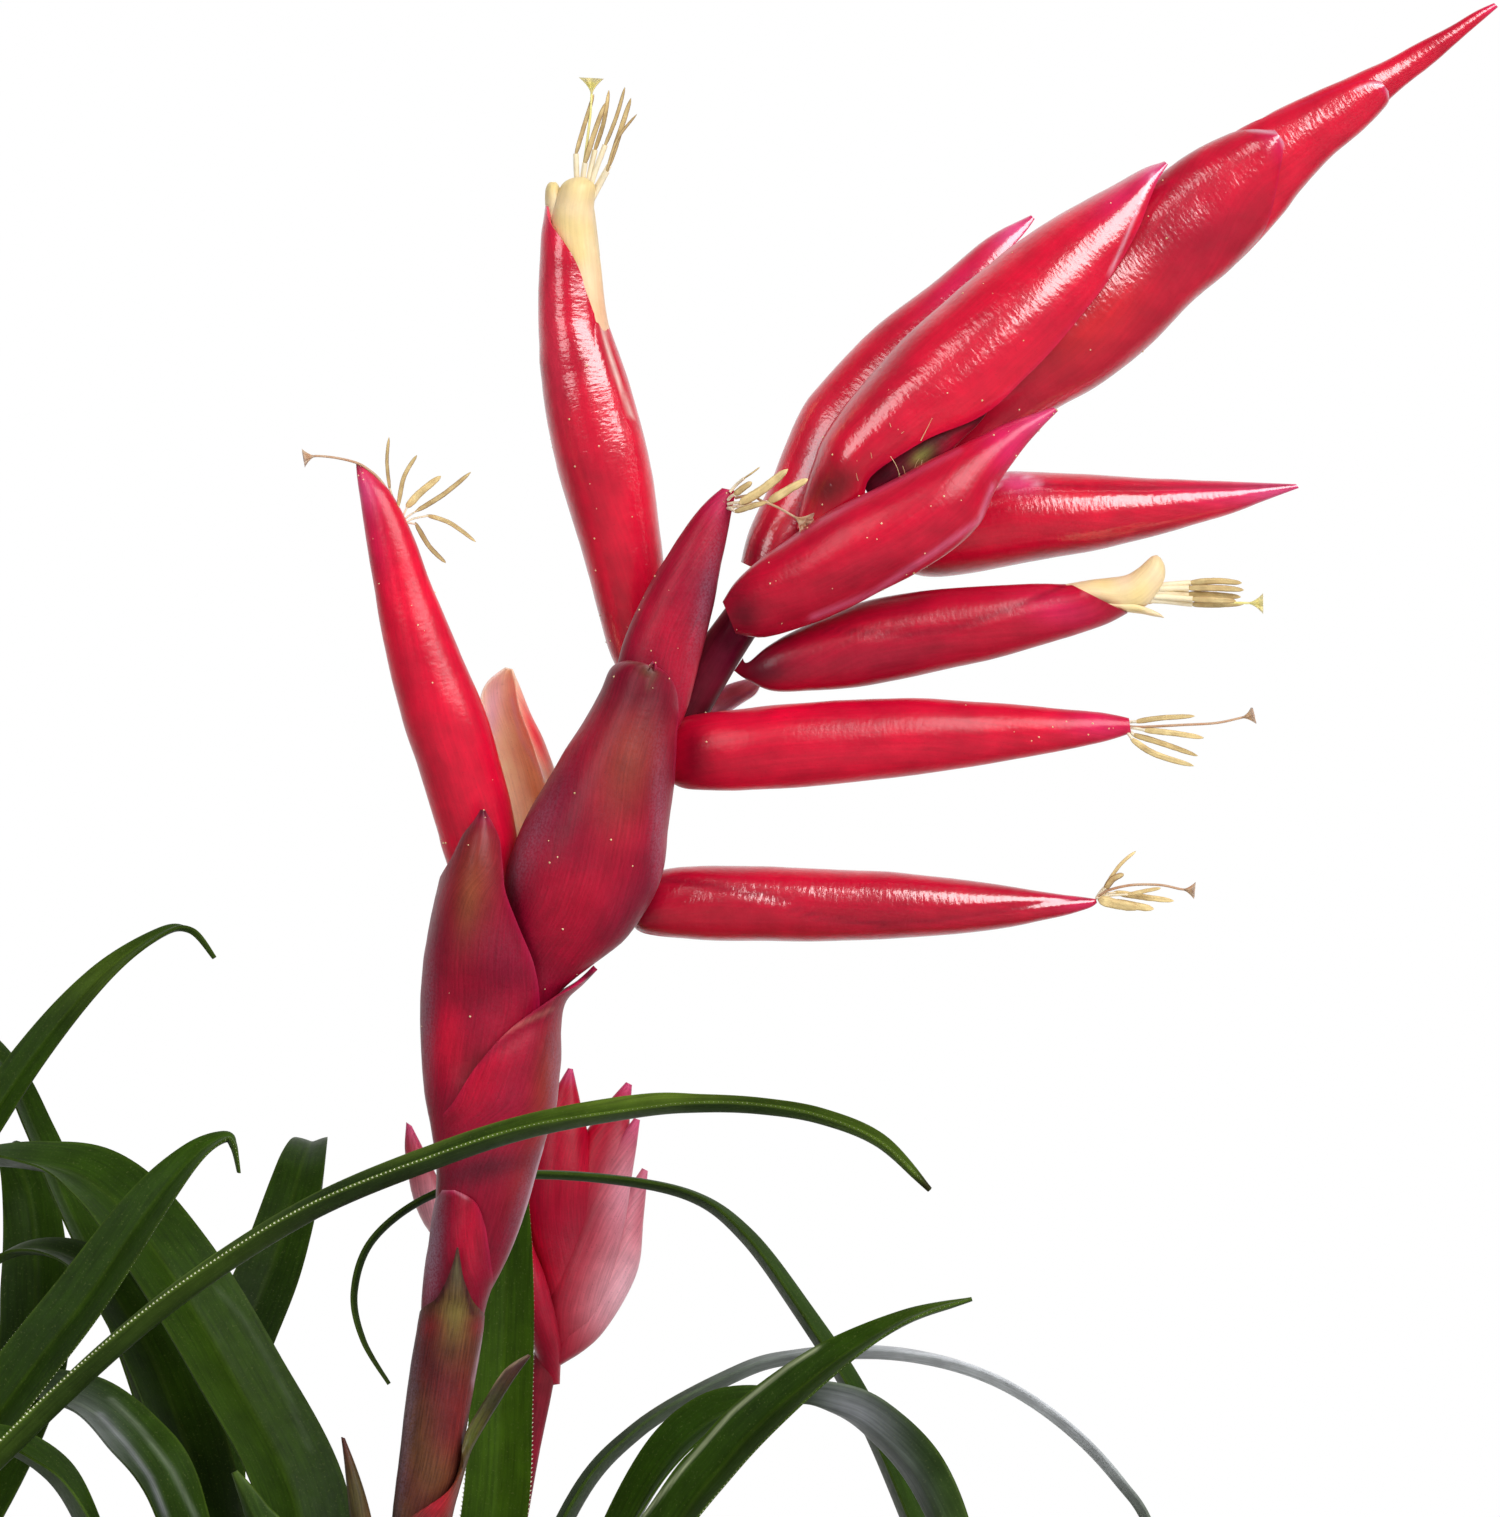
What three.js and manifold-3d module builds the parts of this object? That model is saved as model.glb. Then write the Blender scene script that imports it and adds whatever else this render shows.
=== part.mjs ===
// A clump of Astrid vriesea: four rosettes of strap leaves on one rootstock, the tallest with a leaning
// spike of glossy red bracts and tubular flowers, the one behind it with a younger, shorter spike.
// Millimetres, +Z up. The origin is on the flat cut underside, below the flowering rosette.
// The spike and the leading leaves are placed by points in the photograph, each with its distance
// towards the viewer. The lower leaves round each rosette follow a rule with seeded draws.
import * as THREE from "three";
import Module from "manifold-3d";
import { mergeVertices } from "three/addons/utils/BufferGeometryUtils.js";

const wasm = await Module();
wasm.setup();

// Driving dimensions
const PIXELS_PER_MM = 10; // in the plane of the flower stalk
const VIEW_DISTANCE = 800; // from the viewer to that plane
const FRAME_FOOT = 110; // height of the photograph's lower edge above the surface
const STALK_FOOT_PIXEL = 300; // where the flowering rosette's axis meets the surface, across the frame
const FRAME_CENTRE = [750, 758.5];
const BRACT_WALL = 0.6;
const BLADE_WALL = 0.62;
const ROOTSTOCK_HEIGHT = 6.7;
const FOOT_GAP = 0.3;
const LEAF_FOOT = ROOTSTOCK_HEIGHT + FOOT_GAP;
const CHANNEL = 24; // degrees that each half of a leaf blade is folded up
const FOOT_WIDTH = 5.8; // of a leaf where it stands in its rosette

// A point of the photograph, and how many millimetres it is nearer than the stalk's plane.
function place(px, py, near = 0) {
  const mmPerPixel = (VIEW_DISTANCE - near) / VIEW_DISTANCE / PIXELS_PER_MM;
  const eyeX = (FRAME_CENTRE[0] - STALK_FOOT_PIXEL) / PIXELS_PER_MM;
  const eyeZ = FRAME_FOOT + FRAME_CENTRE[1] / PIXELS_PER_MM;
  return new THREE.Vector3(
    eyeX + (px - FRAME_CENTRE[0]) * mmPerPixel,
    -near,
    eyeZ + (FRAME_CENTRE[1] - py) * mmPerPixel,
  );
}

const radians = THREE.MathUtils.degToRad;

// Rows of numbers, with `steps` rows on a smooth curve in place of each gap between two of them.
function smooth(rows, steps) {
  const last = rows.length - 1;
  const out = [];
  for (let i = 0; i < last; i++) {
    const a = rows[Math.max(i - 1, 0)];
    const b = rows[i];
    const c = rows[i + 1];
    const d = rows[Math.min(i + 2, last)];
    for (let k = 0; k < steps; k++) {
      const t = k / steps;
      out.push(
        b.map((v, n) => {
          const curve = 2 * a[n] - 5 * v + 4 * c[n] - d[n];
          const twist = 3 * v - a[n] - 3 * c[n] + d[n];
          return v + 0.5 * t * (c[n] - a[n] + t * (curve + t * twist));
        }),
      );
    }
  }
  out.push(rows[last]);
  return out;
}

// Closed geometry from points and triangles, turned so that its faces point out.
function closed(points, triangles) {
  let volume = 0;
  for (let i = 0; i < triangles.length; i += 3) {
    const [a, b, c] = [0, 1, 2].map((n) => points[triangles[i + n]]);
    volume += a.dot(new THREE.Vector3().crossVectors(b, c));
  }
  const index = volume < 0 ? triangles.slice().reverse() : triangles;
  const geometry = new THREE.BufferGeometry().setFromPoints(points);
  geometry.setIndex(index);
  geometry.computeVertexNormals();
  return geometry;
}

// A thin sheet between two grids of points. Each quad is split along its shorter diagonal, alike on
// both faces.
function sheet(front, back) {
  const rows = front.length;
  const across = front[0].length;
  const points = [...front.flat(), ...back.flat()];
  const f = (i, j) => i * across + j;
  const b = (i, j) => rows * across + i * across + j;
  const triangles = [];
  const quad = (p, q, r, s) => triangles.push(p, q, r, p, r, s);
  for (let i = 0; i + 1 < rows; i++) {
    for (let j = 0; j + 1 < across; j++) {
      const down = front[i][j].distanceTo(front[i + 1][j + 1]);
      const up = front[i][j + 1].distanceTo(front[i + 1][j]);
      if (down <= up) {
        quad(f(i, j), f(i, j + 1), f(i + 1, j + 1), f(i + 1, j));
        quad(b(i + 1, j + 1), b(i, j + 1), b(i, j), b(i + 1, j));
      } else {
        quad(f(i, j + 1), f(i + 1, j + 1), f(i + 1, j), f(i, j));
        quad(b(i + 1, j), b(i + 1, j + 1), b(i, j + 1), b(i, j));
      }
    }
    quad(f(i, 0), f(i + 1, 0), b(i + 1, 0), b(i, 0));
    const j = across - 1;
    quad(f(i, j), b(i, j), b(i + 1, j), f(i + 1, j));
  }
  for (let j = 0; j + 1 < across; j++) {
    quad(f(0, j), b(0, j), b(0, j + 1), f(0, j + 1));
    const i = rows - 1;
    quad(f(i, j), f(i, j + 1), b(i, j + 1), b(i, j));
  }
  return closed(points, triangles);
}

// A solid through closed rings of points, with a flat cap at each end.
function loft(rings) {
  const sides = rings[0].length;
  const points = rings.flat();
  const triangles = [];
  for (let i = 0; i + 1 < rings.length; i++) {
    for (let j = 0; j < sides; j++) {
      const a = i * sides + j;
      const b = i * sides + ((j + 1) % sides);
      triangles.push(a, b, b + sides, a, b + sides, a + sides);
    }
  }
  for (let j = 1; j + 1 < sides; j++) {
    const top = (rings.length - 1) * sides;
    triangles.push(0, j + 1, j, top, top + j, top + j + 1);
  }
  return closed(points, triangles);
}

// Bracts: shells whose cross-section is part of an ellipse. A row holds the ellipse's left and right
// outline points in the photograph, how near its centre is, its half depth (negative for a bract that
// opens towards the viewer), and the angles at which the shell starts and ends: 0 is the right
// outline, 90 the side nearest the viewer, 180 the left outline.
function bract(rows, { steps = 1, across = 9 } = {}) {
  const outer = [];
  const inner = [];
  for (const [lx, ly, rx, ry, near, depth, from, to] of smooth(rows, steps)) {
    const half = Math.hypot(rx - lx, ry - ly) / 2;
    const wall = Math.min(BRACT_WALL * PIXELS_PER_MM, half * 0.6);
    const keep = 1 - wall / half;
    const innerDepth = Math.sign(depth) * Math.max(Math.abs(depth) - BRACT_WALL, Math.abs(depth) * 0.4);
    const ring = (scale, bulge) =>
      Array.from({ length: across }, (_, j) => {
        const angle = radians(from + ((to - from) * j) / (across - 1));
        const side = (scale * Math.cos(angle)) / 2;
        return place(
          (lx + rx) / 2 + (rx - lx) * side,
          (ly + ry) / 2 + (ry - ly) * side,
          near + bulge * Math.sin(angle),
        );
      });
    outer.push(ring(1, depth));
    inner.push(ring(keep, innerDepth));
  }
  return sheet(outer, inner);
}

// Flower tubes, buds and petals: solids between a left and a right outline.
// A row holds both outline points, how near the axis is, and optionally the half depth.
function spindle(rows, { steps = 1, sides = 10, roundness = 0.9 } = {}) {
  const rings = smooth(rows, steps).map(([lx, ly, rx, ry, near, depth]) => {
    const half = Math.hypot(rx - lx, ry - ly) / 2 / PIXELS_PER_MM;
    const bulge = depth ?? half * roundness;
    return Array.from({ length: sides }, (_, j) => {
      const angle = (2 * Math.PI * j) / sides;
      const side = Math.cos(angle) / 2;
      return place(
        (lx + rx) / 2 + (rx - lx) * side,
        (ly + ry) / 2 + (ry - ly) * side,
        near + bulge * Math.sin(angle),
      );
    });
  });
  return loft(rings);
}

// A tapering round stem or thread. A row holds x, y, z and the radius, in millimetres.
function thread(rows, { steps = 2, sides = 4 } = {}) {
  const path = smooth(rows, steps);
  let side = new THREE.Vector3(0.3, 1, 0.2);
  const rings = path.map(([x, y, z, radius], i) => {
    const [ax, ay, az] = path[Math.max(i - 1, 0)];
    const [bx, by, bz] = path[Math.min(i + 1, path.length - 1)];
    const along = new THREE.Vector3(bx - ax, by - ay, bz - az).normalize();
    side = side.clone().addScaledVector(along, -side.dot(along)).normalize();
    const other = new THREE.Vector3().crossVectors(along, side);
    return Array.from({ length: sides }, (_, j) => {
      const angle = (2 * Math.PI * j) / sides;
      return new THREE.Vector3(x, y, z)
        .addScaledVector(side, radius * Math.cos(angle))
        .addScaledVector(other, radius * Math.sin(angle));
    });
  });
  return loft(rings);
}

// The same, from rows of photograph points: px, py, near, radius.
function threadAt(rows, options) {
  const placed = rows.map(([px, py, near, radius]) => [...place(px, py, near).toArray(), radius]);
  return thread(placed, options);
}

// A strap leaf with a shallow V section. A row holds x, y, z, the width, the compass direction that
// the blade heads for, and its roll about its own length, both in degrees.
function blade(rows, { steps = 1, channel = CHANNEL } = {}) {
  const path = smooth(rows, steps);
  const upper = [];
  const lower = [];
  path.forEach(([x, y, z, width, heading, roll], i) => {
    const [ax, ay, az] = path[Math.max(i - 1, 0)];
    const [bx, by, bz] = path[Math.min(i + 1, path.length - 1)];
    const along = new THREE.Vector3(bx - ax, by - ay, bz - az).normalize();
    const h = radians(heading);
    const side = new THREE.Vector3(-Math.sin(h), Math.cos(h), 0);
    side.addScaledVector(along, -side.dot(along)).normalize().applyAxisAngle(along, radians(roll));
    const up = new THREE.Vector3().crossVectors(along, side);
    const reach = (width / 2) * Math.cos(radians(channel));
    const lift = (width / 2) * Math.sin(radians(channel));
    const row = [-1, 0, 1].map((s) =>
      new THREE.Vector3(x, y, z)
        .addScaledVector(side, s * reach)
        .addScaledVector(up, (Math.abs(s) - 0.5) * lift + BLADE_WALL / 2),
    );
    upper.push(row);
    lower.push(row.map((p) => p.clone().addScaledVector(up, -BLADE_WALL)));
  });
  return sheet(upper, lower);
}

// Joining and cutting
function solid(geometry) {
  const bare = new THREE.BufferGeometry();
  bare.setAttribute("position", geometry.getAttribute("position"));
  if (geometry.index) bare.setIndex(geometry.index);
  const merged = mergeVertices(bare, 1e-4);
  return new wasm.Manifold(
    new wasm.Mesh({
      numProp: 3,
      vertProperties: new Float32Array(merged.attributes.position.array),
      triVerts: new Uint32Array(merged.index.array),
    }),
  );
}

function geometryOf(manifold) {
  const mesh = manifold.getMesh();
  const geometry = new THREE.BufferGeometry();
  geometry.setAttribute("position", new THREE.BufferAttribute(mesh.vertProperties, 3));
  geometry.setIndex(new THREE.BufferAttribute(mesh.triVerts, 1));
  geometry.computeVertexNormals();
  return geometry;
}

const joined = (geometries) => geometryOf(geometries.map(solid).reduce((all, next) => all.add(next)));

// Rosettes
const CROWNS = {
  main: { x: 0, y: 0, core: 15 },
  left: { x: -86, y: -2, core: 10.5 },
  right: { x: 84, y: 8, core: 8 },
  back: { x: 21, y: 77, core: 8 },
};
const RHIZOMES = [
  ["main", "left"],
  ["main", "right"],
  ["main", "back"],
];

function rootstock() {
  const pieces = Object.values(CROWNS).map(({ x, y, core }) => {
    const profile = [
      [0, 0],
      [core + 2.2, 0],
      [core + 3.4, 2.4],
      [core + 2.6, 5.2],
      [core + 1, ROOTSTOCK_HEIGHT],
      [0, ROOTSTOCK_HEIGHT],
    ].map(([r, z]) => new THREE.Vector2(r, z));
    return new THREE.LatheGeometry(profile, 14).rotateX(Math.PI / 2).translate(x, y, 0);
  });
  for (const [a, b] of RHIZOMES) {
    const [p, q] = [CROWNS[a], CROWNS[b]];
    const bow = 4;
    pieces.push(
      thread(
        [
          [p.x, p.y, 2.2, 4.6],
          [(2 * p.x + q.x) / 3, (2 * p.y + q.y) / 3 + bow, 2.2, 3.6],
          [(p.x + 2 * q.x) / 3, (p.y + 2 * q.y) / 3 + bow, 2.2, 3.9],
          [q.x, q.y, 2.2, 4.6],
        ],
        { steps: 1, sides: 8 },
      ),
    );
  }
  const above = new THREE.BoxGeometry(400, 400, 40).translate(0, 40, 20);
  return geometryOf(solid(joined(pieces)).intersect(solid(above)));
}

// Leaves that the photograph shows. `slot` is how far the leaf's foot stands from its rosette's axis,
// `foot` the compass direction of the foot, `heading` that of the blade. A path row holds px, py,
// near, width and roll.
const LEAVES = {
  leaf_front_arch: {
    crown: "left", slot: 6.2, foot: -58, heading: -14,
    path: [
      [-390, 1950, 12, 8.6, 10], [-150, 1605, 18, 8.2, 24], [0, 1457, 21, 7.6, 28],
      [100, 1362, 22.5, 7.3, 28], [200, 1281, 24, 7.0, 28], [315, 1211, 25.5, 6.7, 27],
      [440, 1160, 27, 6.4, 26], [535, 1129, 28, 6, 24], [620, 1112, 29, 5.4, 22],
      [700, 1104, 29.5, 4.9, 20], [780, 1109, 30, 4.2, 18], [862, 1138, 30, 2.9, 12],
      [930, 1190, 30, 0.9, 0],
    ],
  },
  leaf_behind_left: {
    crown: "back", slot: 5.4, foot: 196, heading: 186,
    path: [
      [458, 2040, -84, 7.4, 0], [396, 1660, -88, 7, 0], [346, 1505, -91, 6.6, 0], [300, 1432, -94, 5.8, 0],
      [240, 1392, -97, 4.4, 0], [172, 1400, -100, 2.6, 0], [120, 1444, -102, 0.9, 0],
    ],
  },
  leaf_left_hook: {
    crown: "left", slot: 6.2, foot: 8, heading: 8,
    path: [
      [-372, 1960, 0, 9.4, 0], [-160, 1638, 2, 8.8, 26], [0, 1409, 3, 8, 44], [84, 1299, 3, 7.6, 46],
      [150, 1206, 2, 6, 44], [194, 1156, 1, 4, 34], [224, 1138, 0, 2.4, 20], [234, 1146, 0, 1.6, 10],
      [239, 1172, -1, 0.8, 0],
    ],
  },
  leaf_left_tall: {
    crown: "left", slot: 6.2, foot: 132, heading: 40,
    path: [
      [-480, 1860, -22, 9, 0], [-230, 1430, -34, 7.6, 14], [-60, 1194, -41, 5.8, 20],
      [30, 1060, -43, 4.6, 24], [100, 978, -45, 3.4, 20], [160, 934, -47, 2, 10], [190, 930, -48, 1.4, 5],
      [214, 958, -49, 0.8, 0],
    ],
  },
  leaf_left_back: {
    crown: "left", slot: 6.2, foot: 70, heading: 52,
    path: [
      [-330, 1930, -30, 9.2, 0], [-90, 1610, -44, 9, 20], [22, 1400, -54, 8.6, 30], [36, 1280, -58, 8, 30],
      [28, 1190, -62, 6, 30], [5, 1150, -66, 3, 20], [-30, 1165, -70, 0.9, 0],
    ],
  },
  leaf_broad_arch: {
    crown: "main", slot: 6.6, foot: 142, heading: 136,
    path: [
      [262, 2000, -5, 11, 0], [303, 1640, -9, 12, -8], [297, 1500, -12, 11.6, -12],
      [232, 1370, -17, 11.2, -16], [166, 1262, -21, 10.8, -18], [106, 1190, -25, 10.2, -14],
      [42, 1162, -27, 9, -8], [-60, 1164, -28, 7, 0], [-170, 1226, -28, 4.4, 0], [-260, 1334, -28, 0.9, 0],
    ],
  },
  leaf_upper_left: {
    crown: "main", slot: 11.5, foot: 122, heading: 146,
    path: [
      [226, 2000, -21, 9, 0], [212, 1640, -32, 9, 0], [162, 1440, -37, 7.6, 0], [112, 1300, -41, 6.6, 0],
      [66, 1200, -46, 5.8, 0], [36, 1130, -50, 5.2, 0], [4, 1066, -54, 4.4, 0], [-50, 1020, -60, 3.4, 0],
      [-120, 1040, -66, 0.9, 0],
    ],
  },
  leaf_shaded_arch: {
    crown: "main", slot: 11.5, foot: 164, heading: 160,
    path: [
      [176, 2060, -7, 9, 0], [212, 1660, -13, 9.6, -8], [206, 1520, -20, 9.6, -20],
      [172, 1400, -27, 9.2, -30], [128, 1312, -30, 8, -30], [84, 1262, -33, 6.4, -20],
      [20, 1250, -36, 4, -10], [-50, 1290, -40, 0.9, 0],
    ],
  },
  leaf_back_broad: {
    crown: "main", slot: 11.5, foot: 88, heading: 96,
    path: [
      [282, 2040, -30, 9, 0], [218, 1640, -48, 9.2, 0], [210, 1430, -58, 8.4, 0], [236, 1350, -61, 8, 0],
      [270, 1270, -65, 7.6, 0], [300, 1170, -72, 6.8, 0], [312, 1134, -80, 5, 0], [318, 1190, -94, 0.9, 0],
    ],
  },
  leaf_upright: {
    crown: "main", slot: 6.6, foot: 58, heading: 92,
    path: [
      [386, 2080, -10, 8, 0], [462, 1700, -12, 8, 0], [494, 1517, -13, 7.4, 0], [501, 1400, -13.5, 7, 0],
      [505, 1290, -14, 6.4, 0], [508, 1190, -14, 4.4, 0], [512, 1110, -14, 0.9, 0],
    ],
  },
  leaf_right_blade: {
    crown: "main", slot: 11.5, foot: -36, heading: -12,
    path: [
      [424, 2060, 14, 9, 0], [562, 1688, 17, 9.6, 14], [680, 1516, 18, 8.8, 40], [716, 1470, 18.5, 8.4, 43],
      [760, 1421, 19, 7.6, 45], [832, 1362, 20, 5.8, 40], [906, 1319, 20, 3, 26], [972, 1299, 20, 0.8, 10],
    ],
  },
  leaf_right_twist: {
    crown: "main", slot: 11.5, foot: 4, heading: 4,
    path: [
      [448, 2080, -2, 9, 0], [556, 1690, 2, 9, 0], [640, 1500, 4, 8.4, 18], [708, 1420, 5, 7.6, 24],
      [790, 1397, 6, 7, -8], [834, 1404, 6.5, 6.8, -30], [874, 1424, 7, 6.6, -40], [922, 1474, 8, 6.2, -46],
      [958, 1556, 9, 4.6, -46], [982, 1656, 9, 0.9, -46],
    ],
  },
  leaf_right_arch: {
    crown: "main", slot: 11.5, foot: 42, heading: 5,
    path: [
      [410, 2080, -18, 7.8, 0], [486, 1720, -21, 7, 0], [567, 1518, -22, 6.4, 0], [638, 1432, -22, 5.8, 0],
      [740, 1373, -22, 5.2, 0], [860, 1357, -22, 5, 0], [931, 1362, -22, 4.8, 0], [986, 1376, -22, 4.6, 0],
      [1084, 1438, -22, 4, 0], [1142, 1520, -22, 3, 0], [1180, 1620, -22, 0.9, 0],
    ],
  },
  leaf_far_right: {
    crown: "right", slot: 3.2, foot: 200, heading: 178,
    path: [
      [1080, 2040, -5, 8, 0], [985, 1720, -3, 7.8, -4], [908, 1516, -3, 7.4, -10],
      [856, 1400, -4, 6.8, -10], [800, 1310, -6, 6, -8], [745, 1236, -9, 5, -6], [690, 1196, -11, 3.8, 0],
      [600, 1178, -12, 2.8, 0], [500, 1176, -11, 2.4, 0], [425, 1198, -10, 2.1, 0],
      [372, 1240, -10, 1.8, 0], [354, 1292, -10, 1.5, 0], [363, 1340, -10, 1.2, 0],
      [389, 1384, -10, 0.8, 0],
    ],
  },
  leaf_low_streaked: {
    crown: "main", slot: 11.5, foot: 200, heading: 190,
    path: [
      [180, 2060, 4, 9, 0], [198, 1660, 5, 11, -16], [170, 1510, 3, 11, -34], [128, 1440, 0, 10.4, -36],
      [72, 1398, -4, 9, -24], [-20, 1392, -9, 6.6, -10], [-120, 1450, -13, 3.6, 0],
      [-190, 1530, -15, 0.9, 0],
    ],
  },
  leaf_low_corner: {
    crown: "main", slot: 11.5, foot: 234, heading: 202,
    path: [
      [204, 2080, 14, 9, 0], [142, 1690, 16, 10, -8], [88, 1530, 14, 9.4, -20], [40, 1462, 12, 8.4, -24],
      [-30, 1440, 10, 6.4, -10], [-120, 1480, 9, 3.4, 0], [-190, 1560, 8, 0.9, 0],
    ],
  },
  leaf_small_tip: {
    crown: "main", slot: 11.5, foot: 272, heading: 225,
    path: [
      [300, 2100, 15, 8, 0], [300, 1760, 19, 7, 10], [278, 1570, 21, 5.4, 20], [254, 1510, 21, 3, 20],
      [234, 1472, 21, 0.8, 20],
    ],
  },
};

function photoLeaf({ crown, slot, foot, heading, path }) {
  const { x, y } = CROWNS[crown];
  const [dx, dy] = [Math.cos(radians(foot)), Math.sin(radians(foot))];
  const rows = [
    [x + slot * dx, y + slot * dy, LEAF_FOOT, FOOT_WIDTH, foot, 0],
    [x + (slot + 0.4) * dx, y + (slot + 0.4) * dy, LEAF_FOOT + 16, FOOT_WIDTH + 0.6, foot, 0],
    ...path.map(([px, py, near, width, roll]) => [...place(px, py, near).toArray(), width, heading, roll]),
  ];
  return blade(rows);
}

// The low outer leaves of each rosette, joined at their sheaths. Each leaf stands a golden angle round
// from the last. The older leaves, further down the list, are longer and flatter. Elevations at the foot
// (rise) and at the tip (droop) are in degrees, lengths and widths in millimetres, youngest leaf first.
const GOLDEN_ANGLE = 137.5;
const LOW_LEAVES = {
  main: {
    count: 9, seed: 18, turn: 250, length: [118, 146], rise: [64, 48], droop: [-34, -22], width: [9.6, 10.6],
  },
  left: {
    count: 9, seed: 286, turn: 170, length: [100, 136], rise: [72, 46], droop: [-38, -22], width: [8.6, 9.6],
  },
  right: {
    count: 10, seed: 43, turn: 20, length: [84, 110], rise: [74, 46], droop: [-40, -22], width: [7.6, 8.6],
  },
  back: {
    count: 9, seed: 566, turn: 60, length: [84, 114], rise: [74, 46], droop: [-40, -22], width: [7.6, 8.6],
  },
};

// Repeatable draws between 0 and 1.
function seeded(seed) {
  const modulus = 2147483647;
  let state = (seed * 7919) % modulus;
  return () => {
    state = (state * 16807) % modulus;
    return state / modulus;
  };
}

// One row for each low leaf: direction, length, rise, droop and width.
function lowRows({ count, seed, turn, length, rise, droop, width }) {
  const draw = seeded(seed);
  return Array.from({ length: count }, (_, k) => {
    const between = ([first, last]) => THREE.MathUtils.lerp(first, last, k / (count - 1));
    return [
      turn + GOLDEN_ANGLE * k + (draw() - 0.5) * 44,
      between(length) * (0.8 + 0.24 * draw()),
      between(rise) + (draw() - 0.5) * 26,
      between(droop) + (draw() - 0.5) * 20,
      between(width),
    ];
  });
}

function lowLeaf({ x, y, core }, [azimuth, length, start, end, width]) {
  const parts = 6;
  const [dx, dy] = [Math.cos(radians(azimuth)), Math.sin(radians(azimuth))];
  let r = core + 0.2;
  let z = LEAF_FOOT + 1.2;
  const rows = [];
  for (let k = 0; k <= parts; k++) {
    const u = k / parts;
    const taper = Math.pow(1 - Math.pow(u, 2.4), 0.75);
    const wide = Math.max(width * (0.8 + 0.2 * Math.min(5 * u, 1)) * taper, 0.8);
    rows.push([x + r * dx, y + r * dy, z, wide, azimuth, 0]);
    const elevation = radians(start + (end - start) * Math.pow((k + 0.5) / parts, 1.15));
    r += (length / parts) * Math.cos(elevation);
    z += (length / parts) * Math.sin(elevation);
  }
  return blade(rows);
}

function lowLeaves(name) {
  const { x, y, core } = CROWNS[name];
  const wall = 2.4;
  const ring = [
    [core - wall / 2, LEAF_FOOT],
    [core + wall / 2, LEAF_FOOT],
    [core + wall / 2 + 0.8, LEAF_FOOT + 5],
    [core - wall / 2 + 0.6, LEAF_FOOT + 5],
    [core - wall / 2, LEAF_FOOT],
  ].map(([r, z]) => new THREE.Vector2(r, z));
  const sheath = new THREE.LatheGeometry(ring, 12).rotateX(Math.PI / 2).translate(x, y, 0);
  return joined([sheath, ...lowRows(LOW_LEAVES[name]).map((row) => lowLeaf(CROWNS[name], row))]);
}

// The flower stalk, from its foot to its end inside the tip bracts: px, py, near, radius.
const STALK = [
  [300, 2543, 0, 2.9], [330, 2200, 0, 2.6], [366, 1850, 0, 2.3], [388, 1700, 0, 1.8], [404, 1590, 0, 1.4],
  [416, 1517, 0, 1.4], [430, 1459, 0, 1.7], [446, 1375, 0, 2.0], [452, 1320, 0, 1.7], [462, 1265, 0, 1.6],
  [484, 1205, 0, 1.8], [492, 1150, -0.6, 2.0], [500, 1080, -1.2, 2.0], [518, 1000, -2.2, 1.9],
  [556, 930, -3, 1.8], [600, 860, -3.8, 1.8], [636, 800, -4, 2.0], [664, 752, -3.6, 2.1],
  [692, 700, -3.0, 2.2], [718, 655, -2.4, 2.2], [750, 608, -2.2, 2.0], [790, 548, -2.6, 1.8],
  [830, 500, -3.0, 1.6], [880, 440, -3.0, 1.3], [930, 385, -3.0, 0.9],
];

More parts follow.
